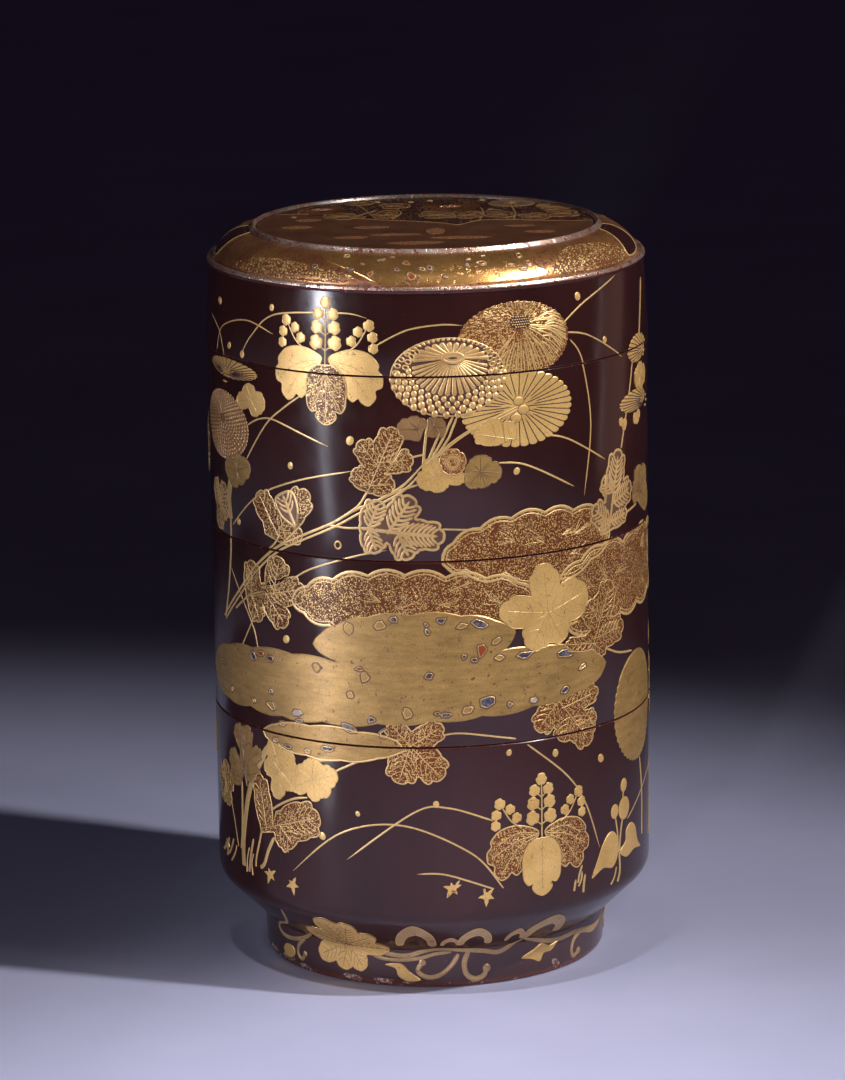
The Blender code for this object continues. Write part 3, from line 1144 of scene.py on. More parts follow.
def beaded_chrysanthemum(drawing, eye, centre, size, lift):
    """A flower seen from one side: a ring of long petals, rows of beads below it and curls above."""
    at = places_round(eye, centre, size)
    outline = [at(5 * step, 1.0) for step in range(72)]
    drawing.fill(outline, "flower_ground", lift=lift * 0.5, edge=0.5)
    drawing.edging(inset(outline, 0.3), 0.6, "raised_gold", 0.25, lift * 0.5)
    for low, high, count, first, last in PETAL_RINGS:
        for step in range(count):
            angle = first + (last - first) * step / count
            half = (last - first) / count / 2
            gap = (at(angle + half, high) - at(angle - half, high)).length
            outline = petal(at(angle, low), at(angle, high), min(0.66 * gap, 2.5), 0.36)
            drawing.dome(outline, "raised_gold", 0.3, lift * 0.7)
    drawing.dome(oval(eye, 9.6, 5.0, 24), "raised_gold", 0.2, lift * 0.8)
    drawing.edging(oval(eye, 8.2, 3.8, 24), 1.1, "raised_gold", 0.3, lift + 0.1)
    drawing.dome(oval(eye, 3.6, 1.0, 12), "flower_ground", 0.06, lift + 0.16)
    for row, (share, bead) in enumerate(BEAD_ROWS):
        for step in range(16):
            angle = 178 + 184 * (step + 0.5 * (row % 2)) / 15.5
            drawing.dome(oval(at(angle, share), bead, bead * 1.12, 10), "raised_gold", 0.6, lift * 0.7)
    for row, share in enumerate((0.76, 0.91)):
        for step in range(8):
            angle = (2 if step < 4 else 136) + 11 * (step % 4 + 0.5 * row)
            drawing.edging(oval(at(angle, share), 2.3, 1.7, 10, angle), 0.6, "raised_gold", 0.3, lift * 0.6)


def filament_chrysanthemum(drawing, eye, centre, size, kinds=("red_strewn_gold", "line_gold")):
    """A flower of thin petals: dense grains and dashes at its left, and long curving lines at its right."""
    ground, line = kinds
    at = places_round(eye, centre, size)
    eye = Vector(eye)
    draw = random.Random(31)
    outline = [ellipse_at(centre, size, 4 * step, 1 + 0.012 * (-1) ** step) for step in range(90)]
    drawing.fill(outline, ground, lift=FLOWER_LIFT / 2, edge=0.4)
    for step in range(380):
        angle, share = draw.uniform(14, 300), math.sqrt(draw.uniform(0.04, 0.82))
        start = at(angle, share)
        end = start + (start - eye).normalized() * draw.uniform(0.7, 1.9)
        drawing.stroke([start, start.lerp(end, 0.5), end], 0.38, line, 0.16, FLOWER_LIFT)
    for step in range(42):
        angle = -124 + 156 * step / 41 + draw.uniform(-1, 1)
        end = at(angle, draw.uniform(0.88, 0.98))
        start = eye.lerp(end, draw.choice((0.2, 0.38, 0.55)))
        bow = Vector((0.0, draw.uniform(0.6, 2.0)))
        path = through([start, start.lerp(end, 0.5) + bow, end], 2.0)
        drawing.stroke(path, draw.uniform(0.44, 0.62), line, 0.2, FLOWER_LIFT, (0.6, 1.0))
    drawing.dome(oval(eye, 9.6, 5.6, 16), "groove", 0.2, FLOWER_LIFT)
    for row in range(-2, 3):
        for column in range(-4, 5):
            x, y = column + row % 2 / 2, row * 1.0
            if (x / 4.6) ** 2 + (y / 2.6) ** 2 < 1:
                grain = oval(eye + Vector((x, y)), 0.72, 0.66, 8)
                drawing.dome(grain, line, 0.3, FLOWER_LIFT + 0.15, (1.0, 0.7))


def flat_chrysanthemum(drawing, eye, centre, size, count, kind="leaf_gold"):
    """A flower seen from the front, with one ring of flat round-ended petals and thin lines between."""
    at = places_round(eye, centre, size)
    steps = 8 * count
    rim = [0.95 + 0.06 * abs(math.sin(math.pi * step / 8)) ** 0.5 for step in range(steps)]
    drawing.fill([at(360 * step / steps, share) for step, share in enumerate(rim)], kind, FLOWER_LIFT, 0.5)
    for step in range(count):
        path = [at(360 * step / count, share) for share in ((0.14, 0.26, 0.32)[step % 3], 0.6, 0.955)]
        drawing.stroke(through(path, 2.5), 0.68, "groove", 0.06, FLOWER_LIFT, (0.5, 1.0))
    wide, tall = size[0] / 48, size[1] / 31
    for x, y, width in ((0.0, 2.2, 4.6), (2.0, -1.4, 5.0), (-1.2, -4.4, 4.8)):
        disc = oval(Vector(eye) + Vector((x, y)) * size[0] / 48, width * wide, width * 0.8 * tall, 16)
        drawing.dome(disc, "leaf_gold", 0.2, FLOWER_LIFT + 0.1)
        drawing.edging(disc, 0.3, "brown_line", 0.1, FLOWER_LIFT + 0.12)


def scaly_chrysanthemum(drawing, eye, centre, size):
    """A flower of small overlapping scales in rings."""
    at = places_round(eye, centre, size)
    outline = [ellipse_at(centre, size, 6 * step) for step in range(60)]
    drawing.fill(outline, "dull_ground", lift=0.06, edge=0.4)
    for ring in range(2, 12):
        count = 5 * ring
        for step in range(count):
            spot = at(360 * (step + ring % 2 / 2) / count, ring / 11.4)
            across = (spot - Vector(eye)).normalized() * 0.9
            drawing.dome(petal(spot - across, spot + across, 1.5, 0.5, 2), "dull_scale", 0.16, 0.12)


def ball_flower(drawing, centre, size):
    """A plain round flower in solid gold with a finely toothed edge."""
    outline = []
    for step in range(176):
        tooth = 0.036 * (1 - abs(math.sin(math.radians(45 * step)))) if step > 70 else 0.0
        outline.append(ellipse_at(centre, size, 360 * step / 176, 1 - tooth))
    drawing.fill(outline, "mist_gold", 0.25, 0.5)
    for step in range(34):
        root, tip = (ellipse_at(centre, size, 190 + 4.4 * step, share) for share in (0.86, 0.97))
        drawing.stroke([root, tip], 0.22, "vein_line", 0.08, 0.25)


# Bands of mist, and the chips set in them.


def scalloped(anchors, bulge):
    """An outline whose sides swell out a little between its anchors, given clockwise from the left tip."""
    outline = []
    for a, b in zip(anchors, anchors[1:] + anchors[:1]):
        a, b = Vector(a), Vector(b)
        out = Vector((a.y - b.y, b.x - a.x)) * bulge
        steps = max(3, math.ceil((b - a).length / 2.5))
        for step in range(steps):
            t = step / steps
            outline.append(a.lerp(b, t) + out * (1 - (2 * t - 1) ** 2))
    return outline


# The blades of a fan: how long the longest is, how far to each side they spread in degrees, and the
# directions in which a fan may lie.
NEEDLE_REACH = 11.0
NEEDLE_SPREAD = 32
FAN_ANGLES = (15, 30, 150, 165)


def needle_fan(drawing, draw, root, angle, lift):
    """A few thin blades that spread from one root."""
    for _ in range(draw.randint(3, 6)):
        way = angle + draw.uniform(-NEEDLE_SPREAD, NEEDLE_SPREAD)
        end = root + heading(way) * NEEDLE_REACH * draw.uniform(0.5, 1.0)
        bend = root.lerp(end, 0.5) + heading(way + 90) * draw.uniform(-0.8, 0.8)
        drawing.stroke(through([root, bend, end], 2.0), 0.3, "line_gold", 0.1, lift)


def strewn_mist(drawing, anchors, seed, fans, lift):
    """A band of mist in strewn flakes, with a double outline and blades of grass lying in it."""
    outline = anticlockwise(scalloped(anchors, 0.16))
    drawing.fill(outline, "strewn_gold", lift=lift)
    drawing.edging(inset(outline, 0.4), 1.25, "line_gold", 0.22, lift)
    drawing.edging(inset(outline, 1.9), 0.5, "line_gold", 0.16, lift)
    draw = random.Random(seed)
    low, high = extent(outline)
    safe = inset(outline, 4.0)
    made = 0
    while made < fans:
        root = Vector((draw.uniform(low.x, high.x), draw.uniform(low.y, high.y)))
        angle = draw.choice(FAN_ANGLES)
        if is_inside(root, safe) and is_inside(root + heading(angle) * 9, safe):
            needle_fan(drawing, draw, root, angle, lift)
            made += 1


def uneven(centre, width, height, turn=0.0):
    """An outline with a few blunt corners, the same each time for the same place."""
    draw = random.Random(round(centre[0] * 31 + centre[1] * 7))
    swing = Euler((0.0, 0.0, math.radians(turn))).to_matrix().to_2x2()
    corners = []
    for step in range(6):
        angle = 60 * step + draw.uniform(-19, 19)
        spot = ellipse_at((0, 0), (width, height), angle, draw.uniform(0.76, 1.2))
        corners.append(Vector(centre) + swing @ spot)
    outline = []
    for a, b in zip(corners, corners[1:] + corners[:1]):
        outline += [a.lerp(b, share) for share in (0.08, 0.36, 0.64, 0.92)]
    return [spot + Vector((draw.uniform(-0.12, 0.12), draw.uniform(-0.12, 0.12))) for spot in outline]


# The name of a chip that is lost.
RING = "ring"


def set_inlays(drawing, inlays, place, lift):
    """Chips of shell or coloured lacquer, and the worn rings of lost ones."""
    for kind, spots in inlays.items():
        for x, y, width, tall, turn in spots:
            outline = uneven(place((x, y)), width, tall, turn)
            if kind != RING:
                drawing.dome(outline, kind, 0.1, lift)
            drawing.edging(inset(outline, -0.2), 0.75, "brown_line", 0.14, lift)
            drawing.edging(inset(outline, 0.28), 0.36, "line_gold", 0.22, lift)


class MakeChrysanthemums(bpy.types.Operator):
    """Lay the chrysanthemums in raised gold on the walls"""

    bl_idname = "lacquer_box.chrysanthemums"
    bl_label = "Chrysanthemums"

    def execute(self, context):
        drawing = Drawing()
        filament_chrysanthemum(drawing, (38, 276.5), (36, 269.5), (48.5, 30.5))
        flat_chrysanthemum(drawing, (36.5, 243), (37, 242), (48.5, 30.5), 36)
        rise = context.scene.container_looks.flower_rise / MM
        beaded_chrysanthemum(drawing, (10, 264), (8.2, 256.3), (46, 31.6), rise)
        # The flower at the left, and those at the right, turn away round the wall.
        scaly_chrysanthemum(drawing, (-106, 231), (-104, 228), (42, 28))
        flat_chrysanthemum(drawing, (-100, 250), (-97, 252), (41, 8), 26)
        ball_flower(drawing, (107, 108), (42, 47))
        flat_chrysanthemum(drawing, (122, 233), (107, 235), (30, 9), 20)
        flat_chrysanthemum(drawing, (118, 254), (110, 256), (22, 12), 20)
        # Two more stand at the back.
        flat_chrysanthemum(drawing, (218, 232), (217, 230), (46, 34), 40)
        filament_chrysanthemum(drawing, (-190, 222), (-190, 218), (44, 34))
        press(drawing, "chrysanthemums", on_wall, WALL_BANDS)
        return {"FINISHED"}


class MakePaulownias(bpy.types.Operator):
    """Lay the paulownia crests on the walls, two in front and two at the back"""

    bl_idname = "lacquer_box.paulownias"
    bl_label = "Paulownia Crests"

    def execute(self, context):
        drawing = Drawing()
        paulownia(drawing, (-41.5, 262), "solid", "strewn")
        paulownia(drawing, (45.2, 67), "strewn", "solid")
        paulownia(drawing, (165, 64), "solid", "strewn")
        paulownia(drawing, (-232, 264), "strewn", "solid")
        press(drawing, "paulownias", on_wall, WALL_BANDS)
        return {"FINISHED"}


# The leaves: base, way of drawing, lift, and the lobes, each with the place of its tip and its width.
LEAVES = (
    ((-24.5, 210.3), "strewn", 0.1, ((-13.2, 236.4, 11), (-27.8, 230.6, 10), (-30.6, 218.8, 9),
     (-6, 223.6, 10), (-13.4, 213.6, 9))),
    ((-27.8, 195.6), "engraved", 0.1, ((6, 192.4, 12.5), (-6.5, 208.8, 12.5), (-19.5, 207, 11),
     (-8, 183.4, 11), (-21, 185.6, 10))),
    ((-65.9, 188.2), "strewn", 0.1, ((-77.5, 205, 12), (-75, 193, 11), (-53.5, 191, 10),
     (-50.4, 208.6, 13))),
    ((-86.7, 160.2), "strewn", 0.1, ((-53, 168.5, 12), (-65.5, 180, 13), (-82.8, 175.8, 11.5),
     (-62.8, 151.6, 12), (-78, 151.2, 10))),
    ((71.4, 138.7), "strewn", 0.42, ((83.5, 165.6, 13), (69, 158.9, 12.5), (93.4, 145, 12),
     (57, 143.6, 6.5), (80, 135.8, 5))),
    ((52, 123), "strewn", 0.1, ((70.8, 100.4, 13), (55.4, 103.6, 12), (43.2, 110, 12), (75.6, 121.5, 9),
     (74.4, 111, 9))),
    ((83, 186), "engraved", 0.2, ((90.6, 218, 14), (79, 208, 10), (72.6, 197, 11), (102, 201, 12),
     (97.5, 191, 8), (76, 188.4, 8))),
    ((-94.8, 80), "soft", 0.22, ((-88, 106, 9), (-99, 104, 9), (-105, 92, 10), (-106, 81.5, 8),
     (-87, 96, 7))),
    ((-90, 80), "soft", 0.28, ((-87, 98.4, 8), (-79.4, 97.2, 7), (-94.6, 93, 6), (-80, 88, 7))),
    ((-79.8, 64.4), "strewn", 0.4, ((-47.8, 74.8, 16), (-81, 87.4, 11), (-60.5, 60.5, 14))),
    ((34.5, 230), "solid", 0.62, ((17.8, 233.4, 8), (24.5, 239, 8), (31, 237.4, 7), (24, 229.2, 5))),
)

# Leaves whose lobes all spring from one place.
RADIAL_LEAVES = (
    ((49, 158), "solid", 0.42, ((46.6, 178.4, 13.5), (69, 164.4, 17), (56, 145.4, 12), (40.5, 144, 13),
     (27.4, 161, 13))),
    ((-9, 107), "strewn", 0.1, ((3.8, 93.6, 13.5), (-14, 91.6, 13.5), (4.2, 115.5, 10), (-17.5, 117, 9))),
    ((110, 197), "soft", 0.15, ((112, 207.5, 12), (102.5, 197, 9), (124, 203, 12), (128, 190, 12))),
    ((-110, 193), "engraved", 0.1, ((-118, 203, 10), (-104, 203.5, 9), (-101.5, 191, 7),
     (-112, 183.5, 10))),
    ((3, 217), "solid", 0.25, ((-4.6, 214, 8), (0, 224.4, 8), (8, 222.6, 8), (4, 210.4, 8),
     (15, 215.6, 6))),
    ((20.5, 218), "soft", 0.25, ((29.2, 217, 8.5), (20.5, 224.8, 9), (22.5, 211.6, 8), (15, 212.2, 7),
     (14, 219, 8))),
    ((-4, 235.6), "dull", 0.12, ((-12.4, 236, 8.4), (-8, 240.2, 7), (-7, 231.8, 6), (-3, 240.5, 6))),
    ((2, 236.4), "dull", 0.12, ((7, 236.4, 8), (3.8, 240.5, 6), (2.8, 232.4, 6))),
    ((-81, 241.5), "solid", 0.2, ((-83.5, 248, 8.4), (-72, 241, 9), (-76, 236.2, 7), (-91, 240, 7))),
    ((-92, 211), "soft", 0.2, ((-82.4, 214.5, 9), (-89, 218, 8), (-103, 211, 9), (-86.5, 207, 7),
     (-97, 204.4, 8))),
    ((114, 243.5), "solid", 0.2, ((106, 244, 8), (111, 249, 8), (122, 244, 8), (115, 238, 7))),
    ((94.6, 227.6), "solid", 0.15, ((91.4, 229.6, 3.4), (97.6, 228, 3.6), (96, 224.8, 3))),
    ((108.5, 227.6), "solid", 0.15, ((104.6, 227.6, 4.5), (112.6, 229.4, 4), (110, 225.2, 4))),
    ((-68, 91), "solid", 0.28, ((-72.8, 103.4, 9), (-61, 99.6, 9), (-57.8, 93, 8), (-60, 84.6, 8),
     (-70, 78.8, 8), (-77.4, 92, 8))),
    ((-51, 90), "solid", 0.3, ((-50.3, 99.2, 9.5), (-39.4, 93.6, 9.5), (-43, 84.6, 8), (-49.6, 81, 7),
     (-61.8, 85, 8), (-59, 94, 8))),
)

# The low plant with heart-shaped leaves, and its buds with their widths and heights.
HEART_LEAVES = (
    ((71, 43), (74.5, 50), (78, 56), (83, 60), (87.5, 58), (89.4, 52.5), (88, 47.5), (84.5, 44.4),
     (78, 45.6)),
    ((90, 49.6), (95, 53), (95.6, 57.4), (100, 59.8), (105, 57), (107.6, 50.4), (111.5, 46.4),
     (104, 47.4), (96, 46)),
)
HEART_BUDS = ((86.4, 67.8, 5.6, 6.2), (94, 67.4, 9.4, 9.8), (93.8, 77.2, 5.4, 5.8))

# Small fallen leaves along the foot of the wall, all round it, each with its turn, and the tips of one.
FALLEN_LEAVES = (
    (-75.4, 46, 10), (-62.6, 44.2, 40), (7, 48, 0), (21, 44, 25), (-112, 50, 30), (140, 47, 15),
    (186, 44, 50), (-170, 48, 20), (-210, 45, 35), (240, 47, 5),
)
FALLEN_TIPS = ((168, 3.8), (-118, 4.8), (-52, 3.6), (18, 4.0), (100, 2.4))

# Leaves at the back, each with its turn and its way of drawing. Then the turn, reach and width of the
# lobes of one, and of a small leaf at the left.
BACK_LEAVES = (
    (236, 206, 20, "strewn"), (196, 204, 80, "engraved"), (208, 188, 140, "strewn"),
    (-170, 196, 60, "engraved"), (-208, 202, 110, "strewn"), (-150, 212, 20, "strewn"),
    (270, 150, 60, "solid"), (-240, 108, 100, "strewn"), (150, 108, 70, "strewn"), (-176, 84, 90, "solid"),
    (-196, 76, 60, "strewn"), (-262, 74, 80, "engraved"),
)
BACK_LOBES = ((0, 16, 13), (58, 14, 13), (112, 12, 12), (-58, 14, 13), (-112, 12, 12))
SMALL_LOBES = ((15, 10, 8), (85, 10, 8), (160, 10, 8), (235, 10, 8), (300, 10, 8))


def lobes_round(centre, turn, lobes):
    """The lobes of a leaf about a place, from the turn, reach and width of each."""
    return [(*(Vector(centre) + heading(turn + angle) * reach), width) for angle, reach, width in lobes]


def layered_bud(drawing, eye):
    """A bud of three layers, each with five lobes, between the solid gold leaves."""
    eye = Vector(eye)
    root = eye + Vector((0.0, 0.4))
    for share, kind in ((1.0, "red_strewn_gold"), (0.62, "raised_gold"), (0.45, "red_strewn_gold")):
        lobes = []
        for angle in range(18, 378, 72):
            lobes.append((root, root + heading(angle) * 5.2 * share, 5.4 * share))
        outline = lobed(eye, lobes, 1.5, 0.06)
        drawing.dome(outline, kind, 0.2, 0.5 - share / 5)
        drawing.edging(outline, 0.5, "raised_gold", 0.25, 0.5 - share / 5)


class MakeLeaves(bpy.types.Operator):
    """Lay the leaves, buds and small plants on the walls"""

    bl_idname = "lacquer_box.leaves"
    bl_label = "Leaves"

    def execute(self, context):
        drawing = Drawing()
        for base, way, lift, lobes in LEAVES:
            leaf(drawing, base, lobes, way, lift=lift)
        for base, way, lift, lobes in RADIAL_LEAVES:
            leaf(drawing, base, lobes, way, 4.0 if way in ("strewn", "engraved") else 2.5, lift, radial=True)
        layered_bud(drawing, (9.4, 222))
        leaf(drawing, (-56.6, 192.8), ((-63.6, 206.6, 11.6),), "engraved", 1.0, 0.3, 0.04)
        for centre in ((-112, 76), (-138, 92)):
            leaf(drawing, centre, lobes_round(centre, 0, SMALL_LOBES), radial=True)
        for x, height, turn in FALLEN_LEAVES:
            centre = Vector((x, height))
            tips = [centre + heading(turn + angle) * reach for angle, reach in FALLEN_TIPS]
            drawing.fill(star(centre, tips, 0.55), "leaf_gold", 0.12, 0.12)
        for outline in HEART_LEAVES:
            drawing.fill(through(outline, 1.6, closed=True), "leaf_gold", 0.14, 0.25)
        for x, height, width, tall in HEART_BUDS:
            drawing.dome(oval((x, height), width, tall, 18), "leaf_gold", 0.25, 0.1)
        for x, height, turn, way in BACK_LEAVES:
            centre = Vector((x, height))
            leaf(drawing, centre - heading(turn) * 14, lobes_round(centre, turn, BACK_LOBES), way, lift=0.34)
        press(drawing, "leaves", on_wall, WALL_BANDS)
        return {"FINISHED"}


# The blades of grass, each from its root to its tip.
GRASSES = (
    ((-87, 259), (-80, 268), (-66, 278), (-35, 281), (-24, 279.5)),
    ((-20, 269), (-8, 275), (5, 277), (14, 276.5)), ((-109, 258), (-104, 268), (-84, 273.5), (-67, 270)),
    ((-101, 257), (-107, 266), (-118, 271)), ((-85, 217), (-72, 233), (-62, 241), (-50, 249)),
    ((-84, 231), (-75, 235), (-65, 235), (-41, 227.5)),
    ((-97, 188), (-78, 203), (-55, 212.5), (-30, 218.5)), ((-60, 171), (-50, 177), (-30, 184), (-17, 187)),
    ((58, 274), (70, 281), (91, 288.5)), ((60, 270), (72, 267), (94, 255)),
    ((61, 267), (67, 258), (72, 232), (68, 203)), ((50, 230), (60, 227), (81, 215.5)),
    ((28, 221), (40, 219), (62.5, 207.5)), ((5, 195.5), (21, 194.5)),
    ((28, 46.5), (15, 62), (-12, 74), (-38, 69.5), (-62, 50)),
    ((24, 75), (6, 81.3), (-8, 79.5), (-36, 58.5)), ((24, 46.5), (5, 53.5), (-7, 54)),
    ((34, 108), (12, 112), (2, 111)), ((39, 105), (58, 89), (68, 75), (76, 55)),
    ((-80, 140), (-84, 150), (-100, 170)), ((-92, 138), (-81, 154)), ((97, 62), (122, 74), (140, 76)),
    ((-99, 52), (-107, 72), (-122, 84)), ((150, 262), (165, 274), (190, 279), (210, 276)),
    ((240, 252), (252, 268), (276, 276), (290, 274)), ((-150, 240), (-158, 262), (-180, 276), (-204, 279)),
    ((-250, 200), (-236, 214), (-214, 222)), ((150, 190), (170, 214), (190, 222)),
    ((130, 46), (140, 66), (158, 84), (184, 90)), ((200, 46), (214, 70), (240, 84), (268, 82)),
    ((-160, 46), (-172, 66), (-198, 88), (-232, 92)), ((-222, 46), (-240, 60), (-262, 66)),
    ((146, 140), (156, 150), (176, 154)),
)

# Places and widths of the dew drops.
DEW = (
    (-31.5, 230.5, 3.9), (-59, 218, 3.2), (-63, 146.5, 3.8), (-68, 280.5, 3.0), (-107, 278, 3.6),
    (-96.5, 261.5, 3.2), (-86, 259.5, 3.4), (-92, 190, 3.0), (66, 283.5, 3.6), (81, 264, 3.0),
    (35.5, 217, 3.2), (31, 102.5, 2.8), (52, 99.5, 3.4), (77, 92.5, 4.0), (1, 83, 3.0), (-31, 78, 2.4),
    (-47, 67, 3.6), (150, 270, 3.2), (186, 262, 3.6), (232, 276, 3.0), (-150, 268, 3.4), (-178, 252, 3.0),
    (-230, 214, 3.4), (176, 190, 3.2), (150, 92, 3.4), (206, 92, 3.0), (246, 96, 3.6), (-150, 76, 3.2),
    (-214, 98, 3.0), (-254, 88, 3.4),
)


# The stems and stalks: each one's width and its places from the root up.
STEMS = (
    (1.15, (-108, 148), (-94.8, 159.9), (-86.4, 167.7), (-79.8, 174.3), (-67, 183.8), (-53, 190.6),
     (-40, 196.6), (-30, 202.6), (-20, 207.2), (-10, 213.4), (-2, 222)),
    (1.0, (-106.6, 147), (-93.6, 158.5), (-78.4, 173), (-65.8, 182.5), (-52, 189.2), (-39, 195.2),
     (-28.5, 201.2), (-18.6, 206), (-8.6, 212.4), (-1, 221)),
    (0.9, (-19, 207.6), (-12, 211), (-4.2, 213.6)), (1.0, (-33, 201), (-28.4, 204.6), (-24.5, 210.5)),
    (0.9, (-41, 195.8), (-34, 195.2), (-27, 195.6)), (0.8, (-7.4, 224.4), (-2, 225.6)),
    (1.1, (-2.2, 221), (-1.6, 228), (-0.8, 234), (0, 240)), (1.0, (-1, 221.5), (2, 228.5), (4.6, 234.6)),
    (1.0, (0, 222), (5, 230.5), (8, 237), (10, 241)),
    (0.9, (1.6, 223), (7.4, 231), (9.6, 236), (11.4, 240.6)),
    (0.95, (-96, 153.6), (-90, 157.8), (-84, 161.4), (-76, 164)),
    (0.9, (-71.4, 182.6), (-68.4, 185), (-65.4, 189)),
    (1.6, (-107, 148), (-103, 160), (-99.8, 176), (-99, 192)),
    (4.2, (-99.4, 190), (-100.4, 199), (-98, 207)), (0.9, (93, 218), (97, 230), (101, 241), (104, 252)),
    (1.5, (112, 261), (116, 272), (120, 283)), (1.0, (76, 187), (84, 187.6), (94, 190), (108, 192)),
    (0.95, (80, 138), (90, 134), (102, 132)), (1.1, (63.8, 152), (59, 151.6), (52, 155)),
    (1.6, (114, 51), (114, 70), (111, 85)), (1.0, (-61, 84), (-54, 96), (-36, 100)),
    (0.9, (-40, 95), (-32, 99), (-27, 101)), (0.9, (20, 47), (21, 41)), (0.9, (7, 47), (10, 51)),
    (1.4, (88.4, 37.4), (90.4, 42), (90, 50), (91.4, 59), (93, 64)),
    (1.0, (83.4, 37.4), (86, 40), (87.6, 44)), (1.0, (89, 50), (88.6, 58), (86.8, 66)),
    (1.0, (93, 72), (93.6, 75)), (0.95, (217, 214), (212, 196), (214, 186)),
    (0.95, (217, 214), (204, 200), (196, 192)), (0.95, (-190, 202), (-180, 190), (-176, 184)),
    (0.95, (-190, 202), (-204, 196), (-214, 186)),
    (3.2, (-94.6, 45), (-94.4, 55), (-92, 67), (-89, 77), (-85, 85), (-78, 95.6), (-73, 102)),
    (1.6, (-96.4, 52), (-95, 62), (-94.4, 81)), (1.2, (-85, 47), (-84.4, 51), (-82, 58), (-79.8, 64.6)),
    (1.7, (-81.4, 47.4), (-79, 49.4), (-76, 56), (-72.4, 62)),
    (1.0, (-79.8, 64.4), (-74, 73), (-62, 80), (-54, 82)), (1.5, (-90.2, 43.6), (-88.6, 51), (-86.2, 58.4)),
    (0.9, (-92, 43), (-91.4, 49), (-89.6, 54)), (0.9, (-87.4, 42.6), (-88, 48), (-86.4, 52)),
    (1.1, (61, 40), (62, 44.6)), (1.0, (63.2, 43), (64, 46.6), (65.6, 50)),
    (1.0, (63.4, 41.4), (65, 44), (65.4, 47.4)), (1.2, (66, 38.4), (66.4, 42), (67.2, 45.8)),
    (1.6, (-118, 46), (-113, 49), (-109, 53)), (1.5, (-113, 45), (-108, 48), (-104, 54)),
    (1.2, (-107, 44), (-103, 48), (-101, 52)),
)


class MakeStems(bpy.types.Operator):
    """Lay the stems, the long grasses and the dew on the walls"""

    bl_idname = "lacquer_box.stems"
    bl_label = "Stems and Grasses"

    def execute(self, context):
        drawing = Drawing()
        for width, *points in STEMS:
            stem(drawing, points, width)
        # The stem of the flat flower lies over its petals.
        for aside in (0.0, 1.1):
            low = [(-1 + aside, 222), (10 + aside, 231), (20 + aside, 236.8)]
            stem(drawing, [*low, (28, 239.8 - aside), (36, 243 - aside)], 0.8, base=0.45)
        for points in GRASSES:
            grass(drawing, points, context.scene.container_looks.grass_width / MM)
        for x, height, size in DEW:
            dew(drawing, (x, height), size)
        drawing.edging(oval((-37.5, 188), 2.6, 3.0), 0.8, "leaf_gold", 0.3)
        press(drawing, "stems_and_grasses", on_wall, WALL_BANDS)
        return {"FINISHED"}


# Chips set in the gold mist, by their finish: place, width, height and turn. Rings are worn places alone.
INLAYS = {
    "blue_shell": (
        (-15, 159, 4, 2.6, 0), (4, 158.5, 4.6, 3, 0), (19.5, 156.5, 7.5, 4, -10), (-2, 157, 2.4, 2.2, 0),
        (-1.5, 154, 2.2, 3.4, 20), (38, 142, 8.4, 3.6, 5), (57, 140, 9.5, 4, -12), (13, 143.5, 2.6, 2.6, 0),
        (22, 124, 7.5, 5.5, 30), (5.5, 120, 4.5, 2.6, 0), (31.5, 122.5, 3.2, 2.4, 0), (57, 125, 5, 3, 20),
        (-24.5, 117.5, 4, 2.6, 20), (-34, 113.5, 7.5, 3.2, -20), (-57, 113.5, 4, 2.6, 0),
        (-44, 104, 6, 2.4, 0), (-63, 102, 4.6, 2.2, 10), (-83, 136, 4.6, 4, 10), (150, 140, 6, 4, 10),
        (206, 142, 7, 4, -15), (-160, 132, 6, 4, 0), (-214, 126, 6, 4, 20),
    ),
    "dark_shell": (
        (17, 142, 3.4, 2.6, 0), (-1, 136, 4, 3, 0), (-72, 137, 5, 3, 0), (2, 120.5, 3, 2, 0),
        (-72, 123.5, 3, 2.2, 0), (-110, 128, 4, 3, 0), (176, 132, 5, 3, 0),
    ),
    "red_shell": (
        (20, 145.5, 4.4, 5.5, 0), (-78, 138, 4.4, 3, 10), (-29, 138, 3.4, 2.4, 0), (-188, 140, 4, 3, 0),
    ),
    "pale_shell": ((42, 123, 4.4, 3, 0), (-58, 117, 5.5, 3.4, 0)),
    RING: (
        (-33.5, 154.5, 4.4, 5, -20), (-20.5, 156.5, 5, 4.2, 0), (-48, 137, 4.6, 4, 0), (-27, 135, 4, 5, 10),
        (-33, 127, 3.4, 3, 0), (-10, 120.5, 4.6, 6, 0), (14, 121.5, 6, 3.6, 20), (27, 142, 5, 2.6, 0),
        (26, 149, 5, 3.2, 20), (12, 156, 5, 2.6, 15), (-83, 117.5, 3.4, 2.4, 0), (-72, 117.5, 6, 3.4, -15),
        (-101, 118.5, 3, 2.4, 0), (-66, 111, 4, 3, 0), (-53, 101.5, 4.4, 2.6, 0), (-70, 103.5, 4, 2.6, 0),
        (-19, 112, 5, 4, 30), (66, 133, 4.4, 2.6, 20), (232, 128, 5, 4, 20), (164, 122, 5, 3, 0),
        (-240, 136, 5, 3, 0), (-176, 120, 5, 3, 0),
    ),
}

